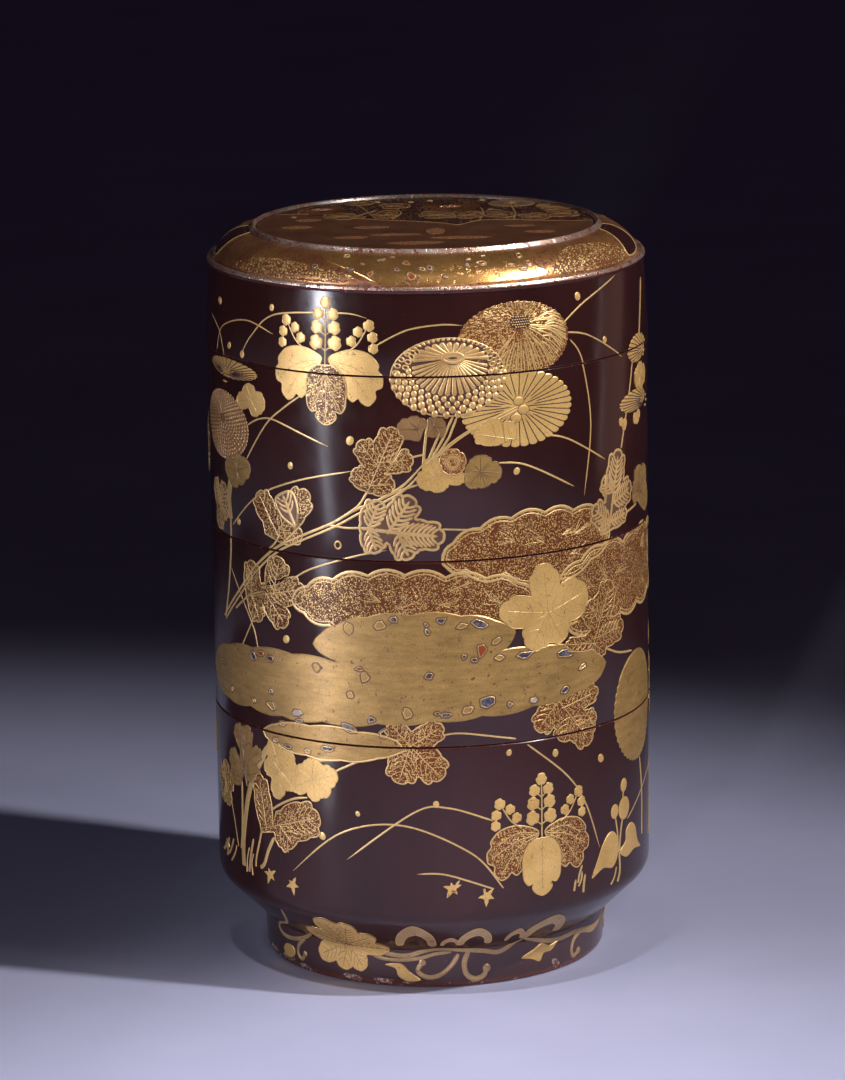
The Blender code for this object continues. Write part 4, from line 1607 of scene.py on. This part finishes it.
# Bands in strewn flakes: seed, number of blades of grass, lift, and anchors clockwise from the left tip.
STREWN_BANDS = (
    (3, 5, 0.02, (4.5, 183), (9, 190), (20, 195.5), (33, 198.5), (48, 199.3), (62, 198.2), (78, 195),
     (84, 184), (72, 176), (50, 172), (30, 174.5), (14, 177), (6, 180)),
    (5, 12, 0.04, (54, 170), (66, 177), (79, 181), (94, 179.3), (108, 181.2), (124, 180.2), (140, 178),
     (150, 168), (142, 156), (126, 152.5), (108, 151), (92, 150), (74, 146), (58, 150)),
    (8, 7, 0.06, (-60, 163), (-52, 170), (-40, 174), (-25, 176.6), (-10, 177.3), (6, 176.2), (22, 175),
     (36, 172), (44, 164), (36, 154), (10, 153), (-20, 152), (-42, 154.6), (-54, 158.4)),
    (11, 6, 0.02, (176, 246), (190, 252), (212, 254), (236, 251), (252, 244), (240, 238), (212, 236),
     (188, 239)),
    (13, 6, 0.02, (-262, 166), (-248, 174), (-224, 178), (-196, 177), (-172, 170), (-190, 160),
     (-226, 158), (-250, 160)),
)

# Bands in solid gold: how far the sides swell, how far above the lowest band it lies, the width of the
# soft edge and of the line in it, and anchors.
SOLID_BANDS = (
    (0.08, 0.02, 0.5, 0.0, (-50, 146.5), (-46, 151.5), (-38, 156), (-26, 159.6), (-8, 161), (12, 160.4),
     (26, 157.6), (34.5, 152), (31, 146), (10, 140), (-28, 140), (-46, 142.6)),
    (0.06, 0.0, 0.5, 0.0, (-127, 124), (-121, 131), (-104, 136.5), (-84, 139.6), (-60, 141), (-40, 140.2),
     (-22, 139.6), (0, 142), (22, 144), (45, 144.6), (62, 142.4), (74, 137.6), (81, 132), (77, 126.5),
     (62, 122.5), (42, 120.4), (20, 118.6), (0, 117.4), (-22, 115.8), (-46, 114.6), (-66, 114),
     (-86, 114.4), (-106, 113.6), (-122, 117)),
    (0.06, 0.04, 0.4, 0.7, (-78, 106.5), (-70, 110.6), (-52, 112.6), (-30, 112.4), (-14, 109.5),
     (-11, 105), (-22, 101.2), (-38, 99.3), (-54, 99.5), (-68, 101), (-76, 103.4)),
    (0.08, 0.0, 0.5, 0.0, (138, 128), (150, 140), (176, 146), (206, 149), (232, 143), (246, 134),
     (230, 122), (196, 117), (158, 118)),
    (0.08, 0.0, 0.5, 0.0, (-256, 128), (-244, 138), (-216, 144), (-186, 146), (-158, 139), (-148, 130),
     (-164, 119), (-204, 114), (-240, 118)),
)


class MakeMist(bpy.types.Operator):
    """Lay the bands of mist, with chips of shell set in the solid ones"""

    bl_idname = "lacquer_box.mist"
    bl_label = "Bands of Mist"

    def execute(self, context):
        drawing = Drawing()
        rise = context.scene.container_looks.mist_rise / MM
        for seed, fans, lift, *anchors in STREWN_BANDS:
            strewn_mist(drawing, anchors, seed, fans, lift)
        for bulge, above, edge, line_width, *anchors in SOLID_BANDS:
            outline = anticlockwise(scalloped(anchors, bulge))
            drawing.fill(outline, "mist_gold", rise + above, edge)
            if line_width:
                drawing.edging(inset(outline, 0.5), line_width, "line_gold", 0.25, rise + above)
        set_inlays(drawing, INLAYS, Vector, rise)
        press(drawing, "mist_bands", on_wall, WALL_BANDS)
        return {"FINISHED"}


# An arch of the scroll: shares of its half width and of its height, from its left foot over the crown.
ARCH = (
    (-1.0, 0.0), (-0.86, 0.45), (-0.42, 0.84), (0.0, 1.0), (0.42, 0.84), (0.86, 0.45), (1.0, 0.0),
    (0.62, 0.0), (0.5, 0.28), (0.12, 0.52), (-0.3, 0.42), (-0.55, 0.18), (-0.66, 0.0),
)


def arch(drawing, middle, low, high, half):
    """A pointed arch of the scroll, thick at its crown and thin at its two feet."""
    outline = ON_FOOT.line([(middle + half * x, low + (high - low) * y) for x, y in ARCH])
    outline = anticlockwise(through(outline, 1.2, closed=True))
    drawing.fill(outline, "scroll_gold", 0.22, 0.3, 2.0)
    drawing.edging(inset(outline, 0.2), 0.5, "scroll_edge", 0.2, 0.22)


def vine(drawing, width, points):
    """A line of the scroll that thins out at its ends."""
    drawing.stroke(through(ON_FOOT.line(points), 1.2), width, "scroll_gold", 0.28, 0.0, (0.7, 0.5))


def hook(drawing, width, points):
    """A curl of the scroll that ends in a round knob."""
    line = through(ON_FOOT.line(points), 1.0)
    drawing.stroke(line, width, "scroll_gold", 0.3, 0.0, (0.5, 1.0))
    drawing.stroke(line, 0.5, "scroll_edge", 0.16, 0.28, (0.5, 1.0))
    drawing.dome(oval(line[-1], width * 1.5, width * 1.4, 12), "scroll_gold", 0.35, 0.02)


# Places on the foot are degrees round it, and millimetres up its side and on over the slope.

# The lobes of the large leaf, with their widths.
FOOT_LEAF = (
    (-43, 24, 11), (-33, 38, 12), (-25, 36, 10), (-18.5, 27, 10), (-15, 16.5, 8), (-24, 6, 9),
    (-32.5, 5, 10), (-42, 9, 10),
)

# Arches: the middle, the lower and upper end, and half the width.
ARCHES = ((-6, 21, 38, 6.2), (12, 21, 34.5, 5.4), (4.5, 21, 27, 3.0), (35, 21, 36.5, 7.5), (25, 21, 30, 3.2))

# Vines and hooks: the width, and places along each.
VINES = (
    (2.0, (-20, 15), (-14, 13.6), (-9, 13.6), (-3, 16), (2, 16.8), (10, 15.6), (16, 14.6), (21, 13.4),
     (26, 16), (29, 19)),
    (1.5, (-24, 15.5), (-19, 12), (-12, 11.4), (-5, 12.6), (0, 14.4), (5, 15)),
    (2.0, (29, 20), (32, 17.4), (38, 14.6), (45, 13.2), (54, 13.6), (60, 12.2), (67, 10.2), (75, 12)),
    (1.3, (57, 13.8), (62, 12.6), (68, 11.6), (76, 12.2)),
    (1.7, (-43, 20), (-48, 15), (-55, 12), (-62, 11.6), (-65.5, 14.5), (-61, 18), (-54, 22), (-50, 28),
     (-46.5, 37)),
)
HOOKS = (
    (2.2, (7.5, 14), (5, 9), (1, 5), (-3, 4.4), (-6, 7), (-4.4, 10.6)),
    (2.6, (11, 15.5), (9.4, 10), (10.2, 5), (13, 2.8), (16, 4), (17, 7)),
    (2.3, (58, 12.8), (54, 11), (52.4, 6.5), (53.6, 3.2), (56.5, 4.6)),
    (2.0, (-49, 14), (-52.6, 10), (-53.2, 6), (-51, 4.4), (-49.4, 7)),
)

# The outlines of the buds between the vines.
FOOT_BUDS = (
    ((-17, 9.2), (-11.5, 10), (-8.4, 6.4), (-5, 3), (-9.5, 2.4), (-12.6, 4.6), (-13.4, 7.6)),
    ((29.5, 9), (34, 11.6), (37.5, 13.6), (41, 11.8), (45, 13), (42, 9.4), (38.6, 9), (37, 5.8),
     (33.6, 7.6)),
    ((-62.6, 6), (-60, 8.4), (-56, 8.2), (-55, 5.4), (-57.4, 3), (-61, 2.8)),
)

# Where the foot's lower edge is worn white: place, width and height.
WORN_PLACES = (
    (-72, 2.4, 12, 2.8), (-60, 2.5, 14, 2.8), (-50, 2.0, 8, 1.6), (-29, 2.3, 12, 2.4), (-18, 2.2, 12, 2.2),
    (-9, 1.8, 7, 1.3), (44, 3.4, 5.6, 4.4), (118, 1.9, 8, 1.8), (201, 1.8, 9, 1.6), (262, 2.1, 7, 1.8),
)

# What the scroll repeats round the back.
BACK_TURNS = range(94, 255, 40)
BACK_VINE = ((-20, 12.5), (-12, 15.5), (-3, 16.4), (6, 13.6), (13, 11.4), (20, 12.5))
BACK_HOOKS = (
    (2.1, (-8, 15.5), (-12, 10), (-10, 4.6), (-6, 5.8)), (2.2, (4, 14), (9, 9), (7, 3.6), (3, 5.2)),
)
BACK_ARCHES = ((-8, 21, 36, 5.6), (9, 21, 31, 4.4))
BACK_LEAF = ((0, 6.5), (-4.4, 9.5), (2.2, 11.2))


class MakeFootScroll(bpy.types.Operator):
    """Lay the vine scroll on the foot ring and the slope above it"""

    bl_idname = "lacquer_box.foot_scroll"
    bl_label = "Foot Scroll"

    def execute(self, context):
        drawing = Drawing()
        lobes = [(*ON_FOOT.place((degrees, way)), width) for degrees, way, width in FOOT_LEAF]
        leaf(drawing, ON_FOOT.place((-30, 17)), lobes, "lined", 2.5, 0.3, 0.06, radial=True)
        for measures in ARCHES:
            arch(drawing, *measures)
        for width, *points in VINES:
            vine(drawing, width, points)
        for width, *points in HOOKS:
            hook(drawing, width, points)
        for points in FOOT_BUDS:
            drawing.fill(through(ON_FOOT.line(points), 1.2, closed=True), "leaf_gold", 0.26, 0.3, 2.0)
        for degrees, way, width, tall in WORN_PLACES:
            drawing.fill(uneven(ON_FOOT.place((degrees, way)), width, tall), "worn_white", 0.02, 0.1)
        for turn in BACK_TURNS:
            self.repeat(drawing, turn)
        press(drawing, "foot_scroll", ON_FOOT, {"lower_tier": (0.4, 44.0)})
        return {"FINISHED"}

    def repeat(self, drawing, turn):
        """One stretch of the scroll at the back."""

        def turned_by(points):
            return [(turn + degrees, way) for degrees, way in points]

        vine(drawing, 1.9, turned_by(BACK_VINE))
        for width, *points in BACK_HOOKS:
            hook(drawing, width, turned_by(points))
        for middle, *measures in BACK_ARCHES:
            arch(drawing, turn + middle, *measures)
        lobes = [(*spot, 4.5) for spot in ON_FOOT.line(turned_by(BACK_LEAF))]
        leaf(drawing, ON_FOOT.place((turn, 14)), lobes, "solid", 1.0, 0.26)


# Places on the shoulder are degrees round it, and millimetres up from the rim.

# The bright patch at the front, with an uneven leaf-shaped end at its left.
BRIGHT_PATCH = (
    (-12, 3.2), (-17, 6), (-22, 9), (-30, 13), (-33, 17), (-31, 20.5), (-20, 21.3), (0, 21.3), (20, 21.3),
    (30, 21), (32, 16), (31, 9), (34, 4), (20, 2.8), (0, 2.8),
)

# Patches in strewn flakes, from one azimuth to another, with their heights, and the form of their tops.
STREWN_PATCHES = ((-63, -20, 11), (36, 70.5, 16), (100, 150, 12), (196, 244, 15))
STREWN_TOP = ((0.2, 0.9), (0.5, 1.0), (0.8, 0.8))

# Patches of bare lacquer, from one azimuth to another.
BARE_PATCHES = ((72, 87), (168, 186), (262, 280))

# Chips set in the shoulder, in the same form as those in the mist.
SHOULDER_CHIPS = {
    "dark_shell": (
        (-21, 9, 3.4, 1.6, -20), (-13, 14.8, 3.4, 1.7, 20), (-8, 9.4, 2.2, 2.0, 0), (1, 10.4, 2.4, 3, 0),
        (24, 9.8, 2.4, 1.4, 0), (-32, 9.4, 3, 2.2, 0), (-10, 17, 2.4, 1.3, 0), (128, 15, 3, 2, 0),
        (200, 17, 3, 2, 0),
    ),
    "red_shell": (
        (-15, 7, 2.4, 3, 0), (-5.5, 13, 3.4, 3, 0), (-4, 6.6, 4, 3.6, 20), (15.6, 12, 5, 2.6, 10),
        (29.4, 10, 2.6, 3, 10), (5, 6, 1.6, 1.2, 0), (-18, 12, 1.8, 1.4, 0), (112, 13, 3, 2.4, 0),
        (222, 9, 3.2, 2.4, 0),
    ),
    "blue_shell": (
        (11.4, 11.2, 2.2, 1.8, 0), (27, 7.2, 3.6, 1.6, 10), (152, 10, 3.4, 2.4, 0), (250, 13, 3, 2, 0),
    ),
    RING: (
        (-24, 17, 3, 3.6, 0), (-1, 9.8, 2.6, 2.4, 0), (12.4, 14.6, 2.4, 1.6, 0), (28, 14.6, 2.8, 4.2, -30),
        (17, 16.5, 2.4, 1.2, 0),
    ),
}


def patch(drawing, points, kind, lift):
    """A patch of one finish on the shoulder. Returns its outline."""
    outline = through(ON_SHOULDER.line(points), 2.0, closed=True)
    drawing.fill(outline, kind, lift, 0.3)
    return anticlockwise(outline)


class MakeShoulder(bpy.types.Operator):
    """Lay the patches and inlays on the shoulder of the lid"""

    bl_idname = "lacquer_box.shoulder"
    bl_label = "Shoulder Inlays"

    def execute(self, context):
        drawing = Drawing()
        patch(drawing, BRIGHT_PATCH, "shoulder_bright", 0.14)
        # Each strewn patch runs out into the plain gold.
        for low, high, height in STREWN_PATCHES:
            span = high - low
            top = [(low + span * across, height * up) for across, up in STREWN_TOP]
            points = [(low, 5), *top, (high, 6), (high - 2, 3), (low + span * 0.5, 2.6), (low + 3, 3)]
            patch(drawing, points, "sparse_strewn", 0.1)
        # Bare lacquer shows inside a gold line.
        for low, high in BARE_PATCHES:
            points = [(low, 3.5), (low + 0.5, 10), (low + 3, 17), (low + 6, 21)]
            points += [(high, 20.5), (high + 1, 12), (high - 2, 4)]
            outline = patch(drawing, points, "wall_lacquer", 0.12)
            drawing.edging(outline, 0.8, "line_gold", 0.2, 0.1)
        set_inlays(drawing, SHOULDER_CHIPS, ON_SHOULDER.place, 0.14)
        press(drawing, "shoulder_inlays", ON_SHOULDER, {"lid": (1.2, ON_SHOULDER.ways[-1] - 0.2)})
        return {"FINISHED"}


# Places on the lid's top are millimetres to the right of its middle and behind it.

# The line between the bank of dull gold in front and the dark ground behind, from left to right, and
# the azimuths at which it meets the bead.
SHORE = ((-40, 26), (-30, 17), (-20, 11), (-8, 7), (6, 1), (12, -4), (15, -3), (22, 6), (36, 7), (50, 3))
SHORE_ENDS = (155, 2)

# Clouds of darker gold on the bank: place, width and depth, and their form.
CLOUDS = (
    (-22, -8, 16, 7), (4, -20, 9, 17), (38, -9, 14, 6), (-12, -27, 22, 7), (-30, -33, 15, 8),
    (14, -36, 26, 8), (46, -24, 14, 8), (-52, -6, 14, 9), (-48, 12, 12, 8), (-4, -48, 24, 9),
)
CLOUD = ((-0.5, 0.0), (-0.32, 0.34), (0.0, 0.5), (0.34, 0.4), (0.5, 0.05), (0.3, -0.4), (-0.2, -0.5))

# Leaves of the garden: the base and the tips of the lobes.
GARDEN_LEAVES = (
    ((-35, 20), (-40, 30), (-31, 28), (-25, 17), (-33, 12), (-42, 20)),
    ((4, 20), (1, 30), (10, 27), (12, 16), (3, 12), (-3, 20)),
    ((17, 19), (14, 30), (22, 29), (24, 16), (16, 11), (10, 18)),
    ((30, 19), (28, 33), (34, 26), (35, 13), (26, 14)), ((44, 12), (40, 20), (48, 22), (50, 8), (42, 4)),
    ((-17, 22), (-14, 34), (-11, 25), (-17, 14), (-22, 20)),
    ((-13, 46), (-18, 50), (-8, 51), (-7, 42), (-15, 39)),
    ((-28, 55), (-34, 58), (-24, 61), (-22, 52), (-30, 49)),
    ((56, 20), (52, 30), (61, 27), (62, 14), (53, 12)),
)
GARDEN_STEMS = (
    ((-30, 17), (-26, 26), (-20, 36)), ((-43, 30), (-38, 22), (-30, 17)), ((12, 12), (12, 22), (10, 34)),
    ((36, 8), (37, 24), (36, 42)), ((-14, 12), (-10, 28), (-13, 42)), ((48, 6), (54, 20), (54, 34)),
    ((-20, 12), (-24, 34), (-28, 50)), ((22, 8), (24, 26), (22, 44), (16, 56)),
    ((-52, 28), (-52, 36), (-46, 48)),
)
GARDEN_DEW = ((2, 60), (-6, 57), (24, 60), (27, 34), (-20, 58), (-54, 20), (46, 54))


class MakeLidGarden(bpy.types.Operator):
    """Lay the bank and the flowering plants on the top of the lid"""

    bl_idname = "lacquer_box.lid_garden"
    bl_label = "Lid Garden"

    def execute(self, context):
        drawing = Drawing()
        reach = BEAD_RADIUS - 2.6
        left, right = (heading(degrees) * reach for degrees in SHORE_ENDS)
        shore = [left, *SHORE, right]
        edge = [heading(-3 - 5 * step) * reach for step in range(40)]
        drawing.fill(through(shore, 3.0) + edge, "bank_gold", 0.12, 0.4, 3.4)
        drawing.stroke(through(shore, 2.0), 0.7, "dull_scale", 0.2, 0.1)
        for x, y, width, depth in CLOUDS:
            outline = through([(x + width * a, y + depth * b) for a, b in CLOUD], 2.0, closed=True)
            drawing.fill(outline, "dull_ground", 0.16, 0.6)
        dull = ("top_ground", "bank_gold")
        filament_chrysanthemum(drawing, (10, 42), (11, 41), (25, 33), dull)
        filament_chrysanthemum(drawing, (-43, 38), (-43, 38), (20, 30), dull)
        flat_chrysanthemum(drawing, (36, 50), (36, 50), (20, 18), 30, "dull_scale")
        for base, *tips in GARDEN_LEAVES:
            leaf(drawing, base, [(*tip, 8) for tip in tips], "dim", 1.5, 0.22, radial=True)
        lobes = [(48, 46, 8), (58, 43, 8), (60, 34, 7), (50, 32, 7)]
        leaf(drawing, (53, 38), lobes, "dim", 2.5, radial=True)
        for points in GARDEN_STEMS:
            stem(drawing, points, 0.9, "dull_scale")
        for place in GARDEN_DEW:
            dew(drawing, place, 3.0, "dull_scale")
        press(drawing, "top_garden", on_top, {"lid": (-72.0, 72.0)})
        return {"FINISHED"}


# The stage.

# Half the floor's width and its depth below the container, in metres.
FLOOR_REACH = 14.0
FLOOR_DROP = 0.0002
ROOM_COLOUR = (0.011, 0.007, 0.012, 1.0)

WARM_WHITE = (1.0, 0.97, 0.94)
RED_WHITE = (1.0, 0.58, 0.46)
BLUE_WHITE = (0.84, 0.86, 1.0)


def light(name, azimuth, distance, height, shape, power, aim, colour=WARM_WHITE):
    """Hangs a light that looks at a place: a soft panel of a width and height, or a spot with a cone.

    Azimuth 0 is in front, and 90 to the right. Panels light no matt surface, and show only as reflections.
    """
    is_panel = isinstance(shape, tuple)
    data = bpy.data.lights.new(name, "AREA" if is_panel else "SPOT")
    data.energy = power
    data.color = colour
    if is_panel:
        data.shape = "RECTANGLE"
        data.size, data.size_y = shape
    else:
        data.spot_size = math.radians(shape)
        data.spot_blend = 1.0
        data.shadow_soft_size = 0.05
    lamp = bpy.data.objects.new(name, data)
    lamp.location = round_axis(distance, math.radians(azimuth), height)
    lamp.rotation_euler = (Vector(aim) - lamp.location).to_track_quat("-Z", "Y").to_euler()
    lamp.visible_camera = False
    lamp.visible_diffuse = not is_panel
    bpy.context.scene.collection.objects.link(lamp)
    return lamp


def make_floor(colour):
    """A pale floor with a faint mottle."""
    mesh = bpy.data.meshes.new("floor")
    bm = bmesh.new()
    bmesh.ops.create_grid(bm, x_segments=8, y_segments=8, size=FLOOR_REACH)
    bm.to_mesh(mesh)
    bm.free()
    floor = bpy.data.objects.new("floor", mesh)
    floor.location.z = -FLOOR_DROP
    bpy.context.scene.collection.objects.link(floor)
    material = bpy.data.materials.new("pale floor")
    material.use_nodes = True
    graph = Graph(material.node_tree)
    shader = material.node_tree.nodes["Principled BSDF"].inputs
    mottle = graph.ranged(graph.noise(6.0, 6.0, 0.6), *NOISE_SPAN)
    graph.feed(shader["Base Color"], graph.lit(colour, graph.ranged(mottle, 0.0, 1.0, 0.94, 1.06)))
    graph.feed(shader["Roughness"], graph.ranged(mottle, 0.0, 1.0, 0.65, 0.8))
    shader["Specular IOR Level"].default_value = 0.1
    mesh.materials.append(material)


def make_lights(looks):
    """Spots for the floor and the matt gold, and panels that draw streaks on the polished lacquer."""
    light("right spot", 68.0, 1.3, 1.45, 32.0, looks.spot_power, (-0.03, -0.10, 0.0))
    for name, azimuth, distance, height, cone, power, aim, colour in (
        ("floor spot", -20.0, 0.6, 1.6, 23.5, looks.floor_power, (0.0, -0.32, 0.0), WARM_WHITE),
        ("low front spot", -10.0, 1.5, 0.24, 9.5, looks.front_power, (0.0, 0.0, 0.07), WARM_WHITE),
        ("high front spot", -10.0, 1.5, 0.39, 9.5, looks.front_power, (0.0, 0.0, 0.25), WARM_WHITE),
        ("left spot", -54.0, 1.0, 0.72, 24.0, looks.fill_power, (0.0, 0.0, 0.15), WARM_WHITE),
        ("right fill spot", 58.0, 1.0, 0.6, 20.0, looks.fill_power * 1.6, (0.0, 0.0, 0.17), WARM_WHITE),
        ("back spot", 165.0, 1.1, 1.0, 22.0, looks.fill_power, (0.0, 0.0, 0.2), WARM_WHITE),
        ("shadow spot", -75.0, 0.7, 1.3, 44.0, looks.shadow_power, (-0.26, -0.06, 0.0), BLUE_WHITE),
    ):
        lamp = light(name, azimuth, distance, height, cone, power, aim, colour)
        lamp.visible_glossy = False
    near = looks.near_power
    light("left strip", -54.0, 1.0, 0.46, (0.12, 0.9), looks.strip_power, (0, 0, 0.46), BLUE_WHITE)
    light("overhead", 0.0, 0.9, 1.5, (0.5, 0.4), looks.overhead_power, (0, 0, 0.15))
    light("near strip", -50.0, 0.34, 0.13, (0.03, 0.26), near, (0, 0, 0.13), BLUE_WHITE)
    light("slim strip", 92.0, 0.34, 0.2, (0.006, 0.2), near * 0.045, (0, 0, 0.2))
    light("broad strip", 106.0, 0.5, 0.2, (0.2, 0.4), near * 0.8, (0, 0, 0.2), RED_WHITE)
    light("right panel", 59.0, 1.0, 0.95, (0.3, 0.3), looks.panel_power, (0, 0, 0.3))


# The camera's place in the container's radii, its tilt, turn and roll in degrees, and its sensor's width
# in millimetres.
CAMERA_PLACE = (0.0, -20.838, 6.7212)
CAMERA_TILT = 90.0 - 13.042
CAMERA_TURN = 0.093
CAMERA_ROLL = -0.828
SENSOR_WIDTH = 36.0


def make_camera(lens):
    data = bpy.data.cameras.new("camera")
    data.sensor_width = SENSOR_WIDTH
    data.lens = lens
    data.clip_start = 0.05
    data.clip_end = 20.0
    camera = bpy.data.objects.new("camera", data)
    camera.location = Vector(CAMERA_PLACE) * BODY_RADIUS
    level = Euler((math.radians(CAMERA_TILT), 0.0, math.radians(CAMERA_TURN)), "XYZ")
    roll = Euler((0.0, 0.0, math.radians(CAMERA_ROLL)), "XYZ")
    camera.rotation_euler = (level.to_matrix() @ roll.to_matrix()).to_euler()
    bpy.context.scene.collection.objects.link(camera)
    bpy.context.scene.camera = camera


def make_world():
    """A nearly black room."""
    world = bpy.data.worlds.new("studio")
    world.use_nodes = True
    world.node_tree.nodes["Background"].inputs["Color"].default_value = ROOM_COLOUR
    bpy.context.scene.world = world
    bpy.context.scene.view_settings.view_transform = "Standard"


class MakeStage(bpy.types.Operator):
    """Make the floor, the studio lights, the world and the camera"""

    bl_idname = "lacquer_box.stage"
    bl_label = "Stage"

    def execute(self, context):
        looks = context.scene.stage_looks
        make_floor(looks.floor_colour)
        make_world()
        make_lights(looks)
        make_camera(looks.lens)
        return {"FINISHED"}


# The panel, and what is registered.


class ContainerPanel(bpy.types.Panel):
    """The container's settings, and a button for each of its parts"""

    bl_idname = "VIEW3D_PT_lacquer_box"
    bl_label = "Lacquer Food Container"
    bl_space_type = "VIEW_3D"
    bl_region_type = "UI"
    bl_category = "Lacquer Box"

    def draw(self, context):
        layout = self.layout
        for settings in (context.scene.container_looks, context.scene.stage_looks):
            box = layout.box()
            for key in settings.__annotations__:
                box.prop(settings, key)
        for operator in OPERATORS:
            layout.operator(operator.bl_idname)


OPERATORS = (
    MakeLid,
    MakeTiers,
    MakeMist,
    MakeChrysanthemums,
    MakePaulownias,
    MakeLeaves,
    MakeStems,
    MakeFootScroll,
    MakeShoulder,
    MakeLidGarden,
    MakeStage,
)
CLASSES = (ContainerLooks, StageLooks, *OPERATORS, ContainerPanel)


def register():
    for cls in CLASSES:
        bpy.utils.register_class(cls)
    bpy.types.Scene.container_looks = bpy.props.PointerProperty(type=ContainerLooks)
    bpy.types.Scene.stage_looks = bpy.props.PointerProperty(type=StageLooks)


def unregister():
    del bpy.types.Scene.stage_looks
    del bpy.types.Scene.container_looks
    for cls in reversed(CLASSES):
        bpy.utils.unregister_class(cls)


def main():
    register()
    bpy.ops.lacquer_box.lid()
    bpy.ops.lacquer_box.tiers()
    bpy.ops.lacquer_box.mist()
    bpy.ops.lacquer_box.chrysanthemums()
    bpy.ops.lacquer_box.paulownias()
    bpy.ops.lacquer_box.leaves()
    bpy.ops.lacquer_box.stems()
    bpy.ops.lacquer_box.foot_scroll()
    bpy.ops.lacquer_box.shoulder()
    bpy.ops.lacquer_box.lid_garden()
    bpy.ops.lacquer_box.stage()


if __name__ == "__main__":
    main()
